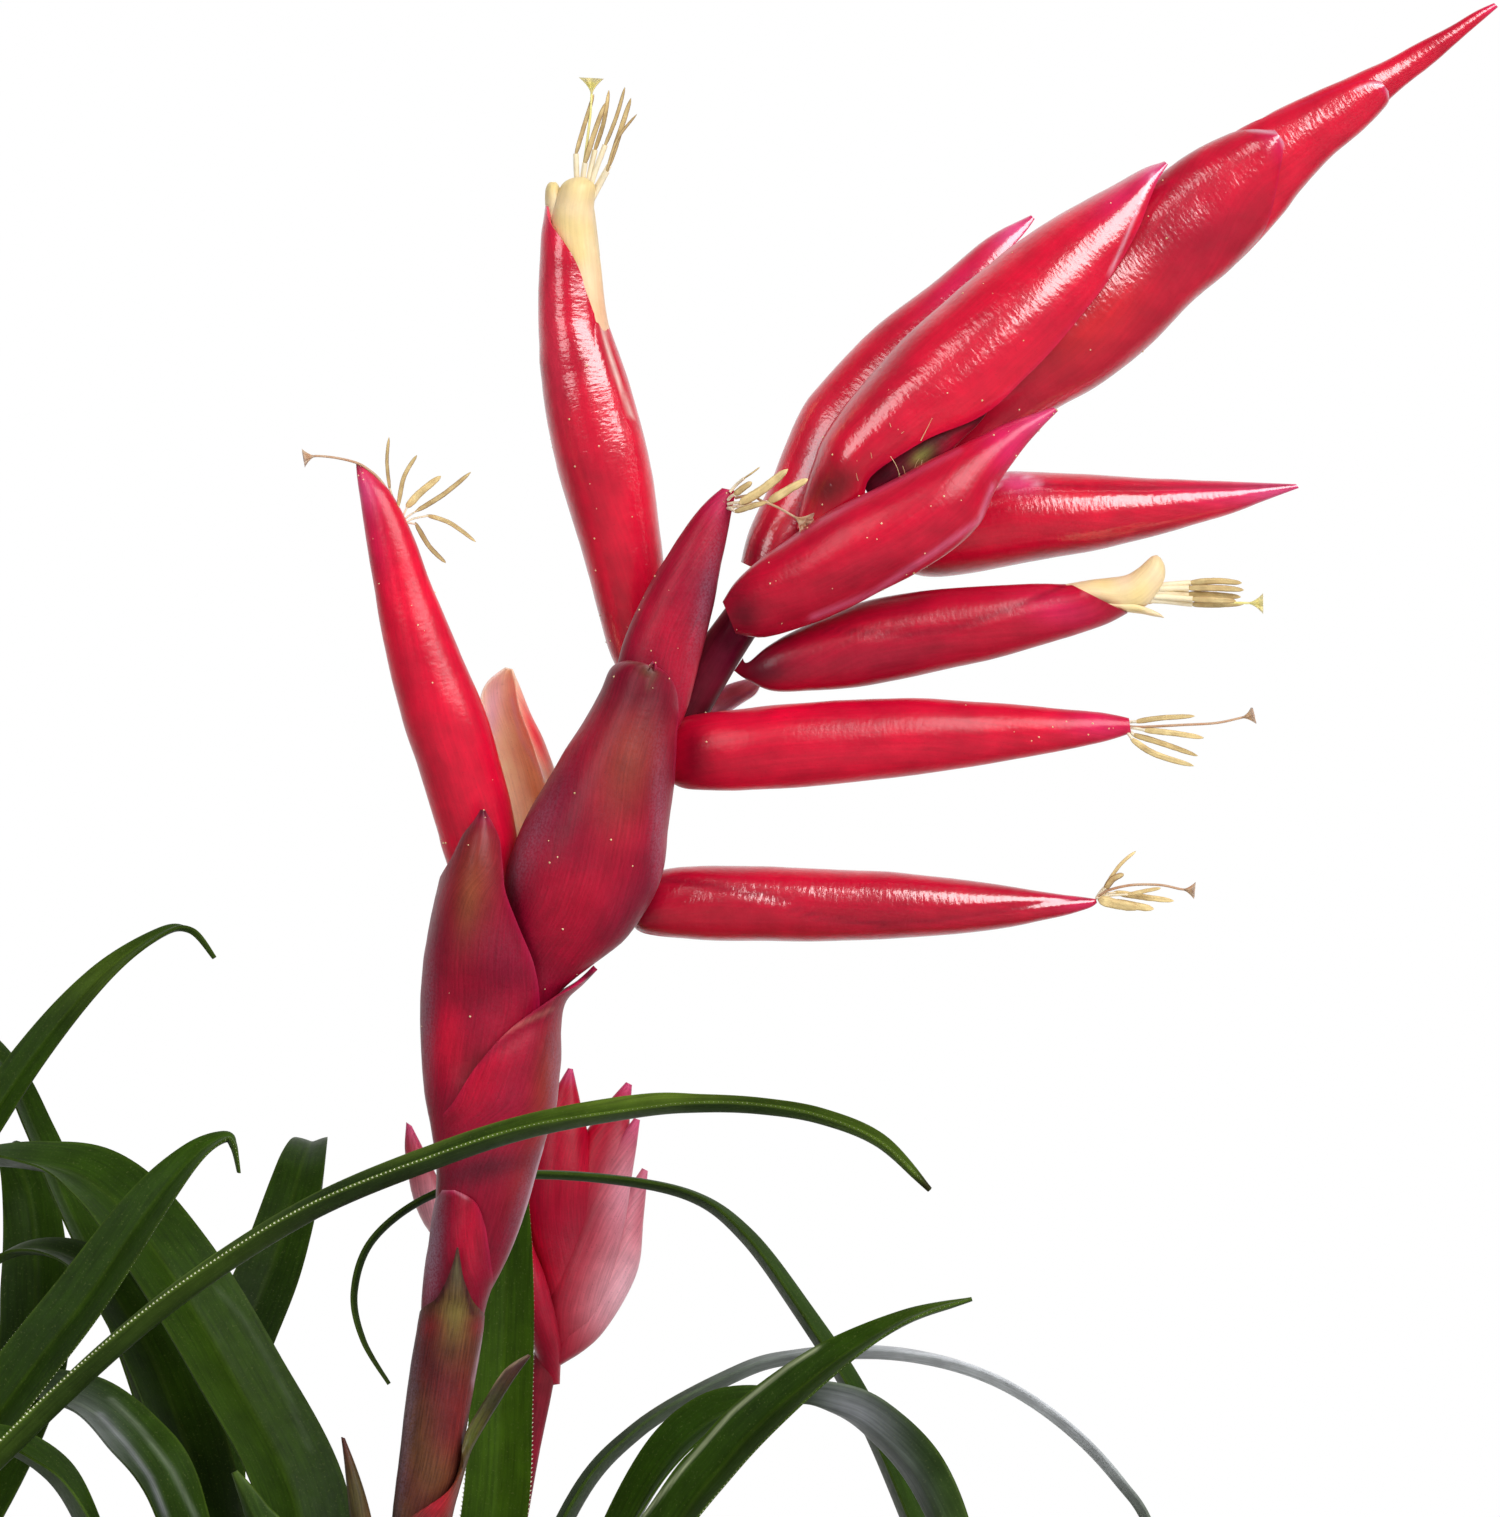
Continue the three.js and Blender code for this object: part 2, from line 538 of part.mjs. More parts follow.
// Bracts on the stalk, from the lowest up.
const BRACTS = {
  stalk_bract_low_left: [
    [340, 1790, 410, 1796, 0, 3.5, -84, 264], [350, 1735, 420, 1741, 0, 3.5, -84, 264],
    [357, 1690, 427, 1696, 0.2, 3.5, -40, 240], [358, 1655, 420, 1662, 1.2, 3.2, 10, 205],
    [357, 1618, 400, 1625, 2.4, 2.2, 50, 180],
    [354, 1572, 380, 1577, 3.6, 1.5, 20, 170], [349, 1515, 372, 1519, 4.4, 1.1, 10, 170],
    [345, 1470, 359, 1474, 4.4, 0.8, 10, 170], [341, 1437, 345, 1438, 4.4, 0.4, 10, 170],
  ],
  stalk_bract_low_right: [
    [368, 1620, 434, 1626, 0, 3.3, -82, 262], [374, 1580, 441, 1586, 0, 3.4, -78, 240],
    [381, 1545, 448, 1551, 0.1, 3.7, -74, 170], [385, 1508, 452, 1514, 0.2, 3.8, -70, 104],
    [400, 1472, 470, 1478, 0.2, 4.0, -60, 52], [438, 1438, 488, 1446, 0.8, 2.8, -56, 60],
    [467, 1413, 499, 1421, 1.2, 1.7, -50, 110], [486, 1391, 511, 1399, 1.2, 1.2, -40, 130],
    [506, 1370, 521, 1380, 1.2, 0.8, -30, 150], [529, 1355, 532, 1357, 1.2, 0.4, 0, 160],
  ],
  stalk_bract_sheath: [
    [391, 1524, 440, 1528, 0, 2.4, -84, 264], [393, 1506, 443, 1510, 0, 2.5, -84, 264],
    [399, 1458, 460, 1464, 0, 3.1, -84, 264], [409, 1375, 475, 1381, 0, 3.3, -84, 264],
    [417, 1322, 484, 1329, 0, 3.5, -64, 244], [420, 1308, 485, 1315, 0.1, 3.6, -30, 210],
    [426, 1297, 483, 1303, 0.8, 4.1, 50, 130], [430, 1286, 480, 1292, 1.1, 4.1, 60, 120],
    [436, 1267, 478, 1272, 1.4, 4.0, 73, 107], [440, 1248, 474, 1250, 1.6, 3.9, 84, 96],
  ],
  stalk_bract_left: [
    [422, 1293, 491, 1299, 0, 3.7, -6, 246], [423, 1281, 496, 1287, 0, 4.0, 4, 246],
    [425, 1264, 504, 1268, 0, 4.4, 46, 245], [427, 1245, 512, 1248, 0, 4.3, 68, 244],
    [430, 1212, 526, 1214, 0, 4.7, 96, 238], [434, 1186, 535, 1188, 0, 5.0, 128, 230],
    [437, 1168, 540, 1170, 0, 5.1, 166, 196],
  ],
  stalk_bract_right: [
    [432, 1290, 483, 1296, 0, 2.6, -84, 84], [434, 1279, 486, 1284, 0, 2.6, -84, 88],
    [437, 1264, 496, 1267, 0, 2.6, -84, 92], [440, 1245, 516, 1243, 0, 3.0, -84, 98],
    [444, 1205, 534, 1200, 0, 3.6, -84, 112], [447, 1172, 542, 1160, 0, 4.2, -80, 150],
    [438, 1142, 549, 1131, 0, 4.9, -78, 178], [433, 1124, 554, 1116, 0, 5.2, -76, 146],
    [430, 1106, 558, 1100, 0, 5.4, -74, 124],
    [424, 1066, 561, 1060, 0, 5.6, -70, 102], [424, 1034, 561, 1028, 0, 5.6, -64, 76],
    [424, 1011, 567, 1001, 0, 5.5, -50, 44], [462, 988, 584, 984, 0, 4.6, -24, 22],
    [490, 974, 598, 970, 0, 4.4, -5, 5],
  ],
  floral_bract_1: [
    [454, 1120, 531, 1116, 0, 3.4, 60, 222], [431, 1097, 546, 1093, 0, 4.3, 52, 238],
    [421, 1058, 548, 1052, 0, 4.5, 46, 244], [420, 1010, 550, 1008, 0.2, 4.9, 32, 244],
    [423, 962, 548, 968, 0.8, 5.6, 37, 236], [429, 925, 533, 929, 1.4, 5.9, 42, 226],
    [436, 892, 521, 892, 2.0, 5.9, 50, 200], [444, 863, 513, 864, 2.4, 5.5, 46, 150],
    [455, 836, 507, 840, 2.7, 4.8, 44, 138], [468, 820, 498, 824, 2.8, 4.1, 50, 130],
    [478, 809, 488, 811, 2.9, 3.5, 60, 120],
  ],
  floral_bract_2: [
    [522, 999, 550, 1002, 0.4, 1.3, -20, 200], [510, 965, 573, 980, 0.6, 2.4, -20, 200],
    [504, 915, 621, 943, 1.4, 4.3, -18, 186], [505, 875, 650, 903, 2.3, 5.2, -14, 182],
    [518, 834, 664, 866, 2.2, 5.8, -12, 186], [540, 792, 669, 824, 2.3, 5.7, -6, 190],
    [562, 755, 675, 780, 2.4, 5.4, 8, 196], [583, 722, 679, 742, 2.4, 5.1, 16, 200],
    [600, 692, 681, 706, 2.4, 4.8, 20, 196], [610, 669, 678, 683, 2.4, 4.6, 30, 180],
    [624, 660, 668, 671, 2.4, 4.5, 44, 150], [640, 662, 660, 669, 2.4, 4.4, 66, 120],
  ],
  floral_bract_3: [
    [526, 862, 566, 873, -4.4, -1.6, -10, 180], [508, 820, 568, 832, -3.8, -3.0, -50, 188],
    [494, 775, 560, 786, -3.6, -3.4, -56, 190], [484, 735, 546, 745, -3.5, -3.3, -56, 190],
    [480, 702, 530, 712, -3.5, -2.8, -52, 188], [487, 681, 521, 689, -3.5, -2.0, -44, 184],
    [505, 667, 513, 669, -3.5, -0.8, -20, 180],
  ],
  floral_bract_4: [
    [723, 602, 736, 634, 3.0, 1.6, -40, 220], [736, 581, 765, 637, 3.4, 2.6, -60, 200],
    [759, 560, 811, 624, 4.2, 3.6, -66, 188], [790, 538, 849, 608, 5.0, 4.2, -70, 184],
    [823, 515, 884, 590, 5.8, 4.4, -70, 182], [859, 496, 921, 571, 6.4, 4.4, -68, 182],
    [899, 476, 956, 547, 6.8, 4.2, -64, 182], [927, 461, 981, 523, 7.0, 3.8, -60, 182],
    [957, 447, 993, 495, 7.0, 3.0, -56, 182], [987, 433, 1007, 471, 7.0, 2.2, -46, 182],
    [1013, 421, 1027, 444, 7.0, 1.5, -36, 182], [1036, 413, 1044, 425, 7.0, 0.9, -20, 180],
    [1053, 407, 1058, 411, 7.0, 0.4, 0, 180],
  ],
  floral_bract_small: [
    [690, 722, 706, 729, -5.7, -0.8, -20, 190], [698, 722, 711, 726, -6.2, -1.0, -20, 190],
    [702, 704, 724, 716, -6.6, -1.7, -30, 200],
    [716, 690, 742, 704, -6.8, -1.9, -30, 200], [734, 682, 756, 694, -6.8, -1.3, -20, 190],
    [756, 677, 762, 681, -6.8, -0.4, 0, 180],
  ],
  tip_bract_left: [
    [741, 562, 800, 590, -2.2, 3.3, 60, 240], [749, 530, 806, 560, -2.4, 3.6, 45, 238],
    [769, 486, 842, 522, -3.0, 4.0, 46, 236], [797, 418, 890, 478, -3.4, 4.4, 50, 232],
    [823, 381, 920, 447, -3.8, 4.4, 60, 230], [871, 331, 955, 396, -4.0, 4.2, 74, 226],
    [929, 286, 992, 336, -4.0, 3.4, 84, 220], [987, 238, 1018, 270, -4.0, 2.0, 84, 210],
    [1031, 215, 1036, 220, -4.0, 0.5, 60, 180],
  ],
  tip_bract_front: [
    [797, 528, 838, 558, 1.8, 2.0, 10, 170], [803, 496, 860, 540, 1.8, 3.0, 30, 170],
    [813, 462, 876, 518, 1.6, 4.2, 48, 170], [826, 430, 884, 490, 1.4, 5.4, 56, 168],
    [865, 380, 942, 459, 1.2, 6.2, 57, 168], [905, 335, 999, 432, 1.0, 6.6, 49, 168],
    [950, 295, 1044, 392, 0.8, 6.6, 49, 170], [1000, 255, 1087, 345, 0.6, 6.2, 51, 172],
    [1050, 220, 1123, 295, 0.4, 5.4, 53, 176], [1100, 192, 1150, 244, 0.2, 4.4, 60, 176],
    [1140, 170, 1163, 193, 0.2, 3.2, 70, 170], [1163, 160, 1171, 167, 0.2, 2.4, 76, 130],
  ],
  tip_bract_right: [
    [872, 462, 906, 506, -1.2, 2.2, -70, 100], [890, 428, 944, 490, -1.2, 3.2, -72, 112],
    [922, 374, 996, 452, -1.0, 4.2, -72, 120], [967, 316, 1051, 412, -0.8, 4.6, -72, 128],
    [1013, 272, 1104, 382, -0.8, 4.6, -70, 138], [1062, 238, 1150, 345, -0.8, 4.4, -58, 148],
    [1110, 212, 1190, 304, -0.8, 4.0, -36, 162], [1152, 182, 1225, 270, -0.6, 3.5, 0, 178],
    [1190, 152, 1258, 236, -0.3, 3.4, 38, 190], [1225, 136, 1283, 207, 0, 3.4, 54, 180],
    [1250, 126, 1288, 172, 0.2, 3.3, 50, 150], [1272, 126, 1287, 146, 0.4, 2.9, 50, 130],
  ],
  tip_bract_upper: [
    [1172, 208, 1200, 246, -0.5, 1.8, -60, 240], [1212, 172, 1250, 219, -0.5, 1.9, -60, 240],
    [1249, 137, 1291, 202, -0.4, 2.0, -60, 236], [1288, 101, 1333, 162, -0.2, 2.1, -50, 230],
    [1328, 81, 1364, 125, 0.3, 1.9, -10, 200], [1361, 75, 1382, 103, 0.8, 1.5, 14, 180],
    [1378, 80, 1389, 95, 1.0, 1.0, 30, 150],
  ],
};

const SHEATHS = ["stalk_bract_low_left", "stalk_bract_low_right", "stalk_bract_sheath"];

// Solid pieces of the spike: the slender end of the tip and the bud in the hollow behind bract 4.
const SOLIDS = {
  tip_bract_end: [
    [1342, 106, 1356, 122, -0.5, 0.6], [1363, 84, 1379, 104, -0.7, 0.6], [1384, 60, 1404, 86, -0.4, 0.8],
    [1412, 45, 1428, 64, -0.2, 0.9], [1445, 28, 1457, 41, 0, 0.7], [1474, 12, 1482, 21, 0, 0.5],
    [1494, 3, 1498, 7, 0, 0.3],
  ],
  flower_bud: [
    [868, 494, 876, 504, 4.1, 0.3], [880, 466, 900, 488, 4.3, 0.6], [906, 438, 936, 466, 4.7, 0.7],
    [936, 414, 962, 440, 4.7, 0.6], [962, 400, 982, 420, 4.7, 0.5], [990, 386, 998, 394, 4.7, 0.3],
  ],
};

// Flower tubes, from the foot to the mouth: left and right outline, near.
const CALYXES = {
  flower_1_calyx: [
    [474, 958, 492, 960, 0.6], [462, 915, 500, 915, 0.2], [452, 880, 510, 880, -0.2],
    [442, 848, 517, 850, -0.6], [437, 828, 516, 828, -0.6], [420, 775, 503, 772, 0.4],
    [403, 722, 486, 714, 1.4], [386, 655, 455, 640, 2.0], [376, 600, 432, 586, 2.4],
    [366, 540, 412, 532, 2.8], [360, 500, 393, 496, 3], [357, 478, 375, 476, 3], [356, 464, 360, 464, 3],
  ],
  flower_2_calyx: [
    [611, 881, 603, 894, -4.5], [634, 892, 626, 912, -5.6], [656, 872, 641, 932, -5.4],
    [700, 866, 690, 939, -5], [752, 866, 745, 941, -4.4], [850, 870, 845, 941, -3.6],
    [905, 873, 905, 938, -3], [980, 882, 985, 931, -2.4], [1046, 892, 1050, 919, -2],
    [1084, 897, 1087, 909, -2], [1096, 899, 1097, 903, -2],
  ],
  flower_3_calyx: [
    [566, 908, 592, 916, 2.2, 1.0], [570, 872, 610, 882, 2.4, 1.7], [578, 830, 632, 842, 2.4, 2.4],
    [590, 780, 653, 794, 2.0, 2.7], [599, 730, 670, 746, 1.5, 2.7], [611, 690, 688, 706, 1.2, 2.7],
    [624, 640, 702, 652, 1.2, 3.0], [645, 592, 714, 604, 1.4, 2.9], [670, 551, 722, 560, 1.8, 2.2],
    [698, 510, 731, 515, 2.2, 1.4], [722, 488, 736, 491, 2.6, 0.6],
  ],
  flower_4_calyx: [
    [683, 744, 681, 764, -1.2, 0.7], [694, 731, 692, 781, 0.8, 0.7], [717, 715, 722, 789, 0.8, 2.4],
    [800, 703, 805, 787, 0.4, 3.7], [900, 698, 905, 776, 0.4, 3.5], [985, 702, 990, 764, 0.6, 2.8],
    [1050, 708, 1056, 752, 1, 2.0], [1102, 713, 1106, 741, 1.2, 1.3], [1129, 718, 1131, 733, 1.2, 0.7],
  ],
  flower_5_calyx: [
    [669, 766, 685, 756, -6.6], [660, 748, 676, 736, -9], [634, 700, 674, 684, -9],
    [609, 650, 668, 632, -8.6], [590, 580, 664, 566, -8], [572, 520, 657, 505, -7.6],
    [557, 470, 648, 452, -7], [545, 410, 632, 392, -6.6], [540, 360, 617, 350, -6.4],
    [538, 300, 607, 332, -6.2], [540, 250, 603, 320, -6], [545, 208, 600, 312, -6],
  ],
  flower_6_calyx: [
    [743, 658, 734, 671, -0.5], [748, 662, 747, 680, 0.6], [770, 645, 774, 691, 0.6],
    [812, 622, 820, 690, 0], [862, 602, 870, 685, -0.4], [913, 592, 928, 673, -0.4],
    [970, 587, 988, 660, 0], [1026, 584, 1050, 643, 0.4], [1062, 584, 1104, 625, 0.8],
    [1070, 584, 1128, 613, 0.8],
  ],
  flower_7_calyx: [
    [833, 515, 826, 524, -5], [838, 520, 840, 534, -7], [862, 512, 862, 548, -7],
    [910, 493, 917, 575, -6.4], [958, 480, 966, 574, -5.8], [1010, 472, 1024, 563, -5],
    [1080, 474, 1092, 551, -4.2], [1150, 478, 1158, 535, -3.6], [1220, 481, 1226, 515, -3],
    [1268, 483, 1272, 498, -2.6], [1296, 484, 1299, 488, -2.6],
  ],
};

// Cream petals that stand out of two of the tubes.
const PETALS = {
  flower_5_petals: [
    [546, 204, 600.5, 307, -6, 1.9], [547, 196, 600, 262, -6, 2.2], [548, 188, 600, 214, -6, 2.4],
    [553, 183, 600, 181, -6, 2.2],
  ],
  flower_6_petals: [
    [1076, 581, 1132, 610, 0.8, 1.9], [1104, 577, 1140, 611, 0.8, 1.9], [1130, 574, 1150, 611, 0.8, 1.8],
    [1150, 576, 1158, 612, 0.8, 1.5],
  ],
};
const UPTURNED_PETAL = [
  [1132, 580, 1134, 592, 1.4, 1.1], [1146, 568, 1156, 584, 1.6, 1.3], [1152, 561, 1164, 570, 1.6, 1.0],
  [1156, 556, 1162, 560, 1.6, 0.4],
];

// Stamens and styles. Each thread runs px, py from the root, and is a thin filament that widens into
// an anther. Its end is `lean` millimetres nearer than the root. A style ends in a flared stigma.
const STAMENS = {
  flower_1_stamens: {
    root: [417, 511], near: 3, lean: 0.4,
    anthers: [
      [[398, 487], [391, 462], [389, 437]], [[405, 482], [410, 466], [416, 455]],
      [[420, 498], [430, 486], [441, 475]], [[426, 505], [448, 492], [471, 471]],
      [[430, 514], [452, 524], [475, 541]], [[420, 522], [431, 545], [446, 562]],
    ],
    style: [[400, 492], [386, 474], [372, 458], [357, 454], [340, 455], [322, 455], [310, 457]],
  },
  flower_2_stamens: {
    root: [1109, 896], near: -2, lean: 0.4,
    anthers: [
      [[1114, 876], [1122, 863], [1134, 852]], [[1112, 886], [1116, 880], [1122, 875]],
      [[1130, 900], [1155, 901], [1174, 901]], [[1124, 904], [1140, 908], [1155, 909]],
      [[1128, 894], [1140, 892], [1156, 889]],
    ],
    style: [[1126, 890], [1150, 885], [1172, 887], [1188, 892]],
  },
  flower_3_stamens: {
    root: [746, 488], near: 3.4, lean: 2.4,
    anthers: [
      [[754, 494], [768, 483], [786, 467]], [[760, 500], [780, 493], [803, 480]],
      [[748, 484], [751, 482], [755, 480]], [[750, 480], [754, 475], [760, 468]],
    ],
    style: [[752, 502], [772, 503], [788, 511], [800, 522]],
  },
  flower_4_stamens: {
    root: [1144, 727], near: 1.2, lean: 0.4,
    anthers: [
      [[1156, 719], [1176, 717], [1196, 717]], [[1160, 730], [1180, 733], [1202, 737]],
      [[1156, 737], [1176, 745], [1198, 753]], [[1152, 742], [1170, 754], [1193, 765]],
    ],
    style: [[1164, 725], [1190, 723], [1220, 721], [1249, 715]],
  },
  flower_5_stamens: {
    root: [588, 167], near: -6, lean: 0.4,
    anthers: [
      [[577, 154], [583, 132], [590, 102]], [[587, 154], [598, 128], [609, 91]],
      [[598, 148], [611, 118], [625, 88]], [[606, 158], [618, 134], [632, 98]],
      [[609, 150], [623, 132], [637, 114]], [[582, 156], [588, 140], [598, 122]],
    ],
    style: [[588, 148], [590, 120], [592, 88]],
  },
  flower_6_stamens: {
    root: [1167, 594], near: 0.8, lean: 0.4,
    anthers: [
      [[1192, 584], [1216, 580], [1242, 581]], [[1194, 588], [1218, 587], [1244, 589]],
      [[1194, 593], [1218, 594], [1243, 595]], [[1194, 598], [1218, 600], [1240, 601]],
      [[1194, 602], [1218, 605], [1238, 606]],
    ],
    style: [[1192, 597], [1230, 600], [1257, 603]],
  },
};

// The threads leave a small knot, and fan out towards the viewer and away from it.
function stamens({ root, near, lean, anthers, style }) {
  const knot = 0.9;
  const fan = 0.8;
  const pieces = [
    new THREE.IcosahedronGeometry(knot, 0).translate(...place(root[0], root[1], near).toArray()),
  ];
  anthers.forEach((points, i) => {
    const side = (i % 2 ? 1 : -1) * fan * (0.4 + i / anthers.length);
    const radii = [0.34, 0.42, 0.3];
    const nears = [0.5, 0.8, 1].map((u) => near + u * (lean + side));
    const rows = [[...root, near, 0.32], ...points.map((p, k) => [...p, nears[k], radii[k]])];
    pieces.push(threadAt(rows, { steps: 1 }));
  });
  const end = style.length - 1;
  const rows = [[...root, near, 0.34]];
  style.forEach((p, k) => rows.push([...p, near + (lean * (k + 1)) / style.length, k === end ? 0.85 : 0.32]));
  pieces.push(threadAt(rows, { steps: 1, sides: 5 }));
  return joined(pieces);
}

// The younger spike behind: a thin stalk, as x, y, z and radius, and a fan of bracts.
const YOUNG_STALK = [
  [21, 77, 7.1, 2.0], [18.6, 76.6, 40, 1.9], [17.6, 76, 75, 1.7], [18.4, 76, 96, 1.5], [20.2, 76, 108, 1.3],
  [21.8, 76, 116, 1.3], [22.5, 76, 119.4, 1.3],
];
const YOUNG_BRACTS = [
  [[540, 1352, 556, 1360, -76, 1.4], [488, 1292, 540, 1336, -76, 2.6], [424, 1224, 486, 1272, -74, 2.6],
    [406, 1160, 440, 1182, -73, 1.6], [406, 1122, 412, 1126, -73, 0.5]],
  [[546, 1352, 560, 1348, -76, 1.4], [566, 1300, 606, 1330, -76, 2.6], [586, 1236, 634, 1262, -77, 2.6],
    [614, 1190, 640, 1204, -78, 1.5], [640, 1160, 646, 1164, -78, 0.5]],
  [[548, 1326, 566, 1330, -76, 1.8], [486, 1240, 548, 1276, -76, 3.0], [462, 1150, 520, 1180, -77, 2.6],
    [466, 1100, 492, 1112, -78, 1.4], [478, 1066, 484, 1068, -78, 0.5]],
  [[548, 1320, 568, 1318, -76, 1.8], [560, 1230, 622, 1262, -76, 3.0], [576, 1150, 632, 1176, -75, 2.6],
    [602, 1110, 630, 1124, -74, 1.4], [626, 1082, 632, 1085, -74, 0.5]],
  [[546, 1300, 572, 1300, -76, 2.0], [530, 1200, 596, 1206, -76, 3.2], [542, 1130, 602, 1140, -76, 2.4],
    [566, 1090, 596, 1098, -76, 1.2], [584, 1064, 590, 1065, -76, 0.5]],
];

// Materials
const MATERIALS = {
  leaf_green: [0x1f3d14, 0.4],
  red: [0xc3122f, 0.3],
  stalk_red: [0x7d2130, 0.45],
  sheath: [0x8a3a30, 0.5],
  cream: [0xecd9a0, 0.5],
  straw: [0xc9a86a, 0.7],
  bud_olive: [0x5b3a22, 0.5],
  rootstock_brown: [0x5a4330, 0.85],
};
const materials = Object.fromEntries(
  Object.entries(MATERIALS).map(([name, [color, roughness]]) => [
    name,
    new THREE.MeshStandardMaterial({ name, color, roughness, metalness: 0 }),
  ]),
);

const clump = new THREE.Group();
const foliage = new THREE.Group();
const spike = new THREE.Group();
const youngSpike = new THREE.Group();
clump.add(foliage, spike, youngSpike);

function put(group, name, geometry, material) {
  const mesh = new THREE.Mesh(geometry, materials[material]);
  mesh.name = name;
  group.add(mesh);
}

put(foliage, "rootstock", rootstock(), "rootstock_brown");
for (const name of Object.keys(CROWNS)) put(foliage, `low_leaves_${name}`, lowLeaves(name), "leaf_green");
for (const [name, leaf] of Object.entries(LEAVES)) put(foliage, name, photoLeaf(leaf), "leaf_green");

put(spike, "flower_stalk", threadAt(STALK, { steps: 1, sides: 10 }), "stalk_red");
for (const [name, rows] of Object.entries(BRACTS)) {
  put(spike, name, bract(rows), SHEATHS.includes(name) ? "sheath" : "red");
}
put(spike, "tip_bract_end", spindle(SOLIDS.tip_bract_end), "red");
put(spike, "flower_bud", spindle(SOLIDS.flower_bud), "bud_olive");
for (const [name, rows] of Object.entries(CALYXES)) put(spike, name, spindle(rows), "red");
put(spike, "flower_5_petals", spindle(PETALS.flower_5_petals), "cream");
put(
  spike,
  "flower_6_petals",
  joined([spindle(PETALS.flower_6_petals), spindle(UPTURNED_PETAL, { sides: 8 })]),
  "cream",
);
for (const [name, spec] of Object.entries(STAMENS)) put(spike, name, stamens(spec), "straw");

put(youngSpike, "young_stalk", thread(YOUNG_STALK, { steps: 1, sides: 8 }), "stalk_red");
put(youngSpike, "young_head", joined(YOUNG_BRACTS.map((rows) => spindle(rows, { sides: 7 }))), "red");

export default clump;
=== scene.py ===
"""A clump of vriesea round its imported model.

Every shape is worked out here in millimetres, in the model's frame: +Z up, +X to the right and +Y away
from the viewer. The spike and the leading leaves are placed by points of the photograph, each with its
distance towards the viewer. Colour is painted on each point by formula, and the materials add grain,
veins, wax and gloss.
"""
import math
import random
from types import SimpleNamespace

import bmesh
import bpy
import numpy as np
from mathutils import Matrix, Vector, noise


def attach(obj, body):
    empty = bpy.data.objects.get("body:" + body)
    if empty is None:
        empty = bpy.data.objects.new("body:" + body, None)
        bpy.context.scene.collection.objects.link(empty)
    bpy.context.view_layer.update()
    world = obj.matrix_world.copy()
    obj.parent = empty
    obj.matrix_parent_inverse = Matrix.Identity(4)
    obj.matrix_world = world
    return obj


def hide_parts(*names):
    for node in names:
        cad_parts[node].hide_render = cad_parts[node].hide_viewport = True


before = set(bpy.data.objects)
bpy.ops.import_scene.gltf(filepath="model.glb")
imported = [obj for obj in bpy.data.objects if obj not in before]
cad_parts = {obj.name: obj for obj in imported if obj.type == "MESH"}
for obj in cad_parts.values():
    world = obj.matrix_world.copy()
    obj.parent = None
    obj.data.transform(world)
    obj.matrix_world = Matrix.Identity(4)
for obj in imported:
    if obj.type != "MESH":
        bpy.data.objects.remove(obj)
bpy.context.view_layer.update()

# One millimetre, in metres
MM = 0.001

# Driving dimensions, in millimetres
BRACT_WALL = 0.6
BLADE_WALL = 0.62
ROOTSTOCK_HEIGHT = 6.7
LEAF_FOOT = ROOTSTOCK_HEIGHT + 0.3
FOOT_WIDTH = 5.8
FOOT_LENGTH = 16
SHEATH_LIFT = 1.2
RUNNER_LIFT = 2.2
LEAF_TIP_WIDTH = 0.3
LEAF_WAVE = 0.10
MOUTH_DEPTH = 2.0
STAMEN_FAN = 0.7
STYLE_RADII = (0.15, 0.11)
HAIR_RADII = (0.045, 0.02)
TOOTH_SPACING = 0.46
TOOTH_SIZE = 0.20
GRAIN_SIZE = 0.09
FLOOR_RADIUS = 1050

# Sizes of patterns, in millimetres: of the relief, of the paint and of the materials
SWELL_SIZE = 4.5
RIPPLE_SIZE = 1.3
WAVE_SIZE = 14
RED_PATCHES = 7
DARK_PATCHES = 8
WAX_PATCHES = 5
LEAF_PATCHES = 16
LEAF_WAX_PATCHES = 9
FOOT_PATCHES = 5
BLOTCH_SIZE = 2.6
CRINKLE_SIZE = 0.6
WRINKLE_SIZE = 0.42
SPECK_SIZE = 0.22

# Angles in degrees, shares and counts
CHANNEL = 24
FRONT_CHANNEL = 34
GOLDEN_ANGLE = 137.5
SHARP_ANGLE = 58
TUBE_DEPTH = 0.9
LIP_WIDTH = 0.86
THROAT_WIDTH = 0.8
MARGIN_SHARE = 0.05
KEEL_SHARE = 0.07
FIBRE_STRETCH = 0.045
WRINKLE_STRETCH = 0.35
RING_SIDES = 72
BUD_HAIRS = 12

# The photograph: its size in pixels, its scale at the spike, the height of its lower edge, the column of
# the stalk's foot, how far from the spike the eye is, and the width of the camera's sensor
FRAME_SIZE = (1500, 1517)
FRAME_CENTRE = (FRAME_SIZE[0] / 2, FRAME_SIZE[1] / 2)
PIXELS_PER_MM = 10
FRAME_FOOT = 110
STALK_FOOT_PIXEL = 300
VIEW_DISTANCE = 800
EYE_X = (FRAME_CENTRE[0] - STALK_FOOT_PIXEL) / PIXELS_PER_MM
EYE_Z = FRAME_FOOT + FRAME_CENTRE[1] / PIXELS_PER_MM
SENSOR = 36


# Colours
def srgb(red, green, blue):
    """A display colour, 0 to 255, as linear light."""
    return np.array([((c / 255 + 0.055) / 1.055) ** 2.4 if c > 10 else c / 3300 for c in (red, green, blue)])


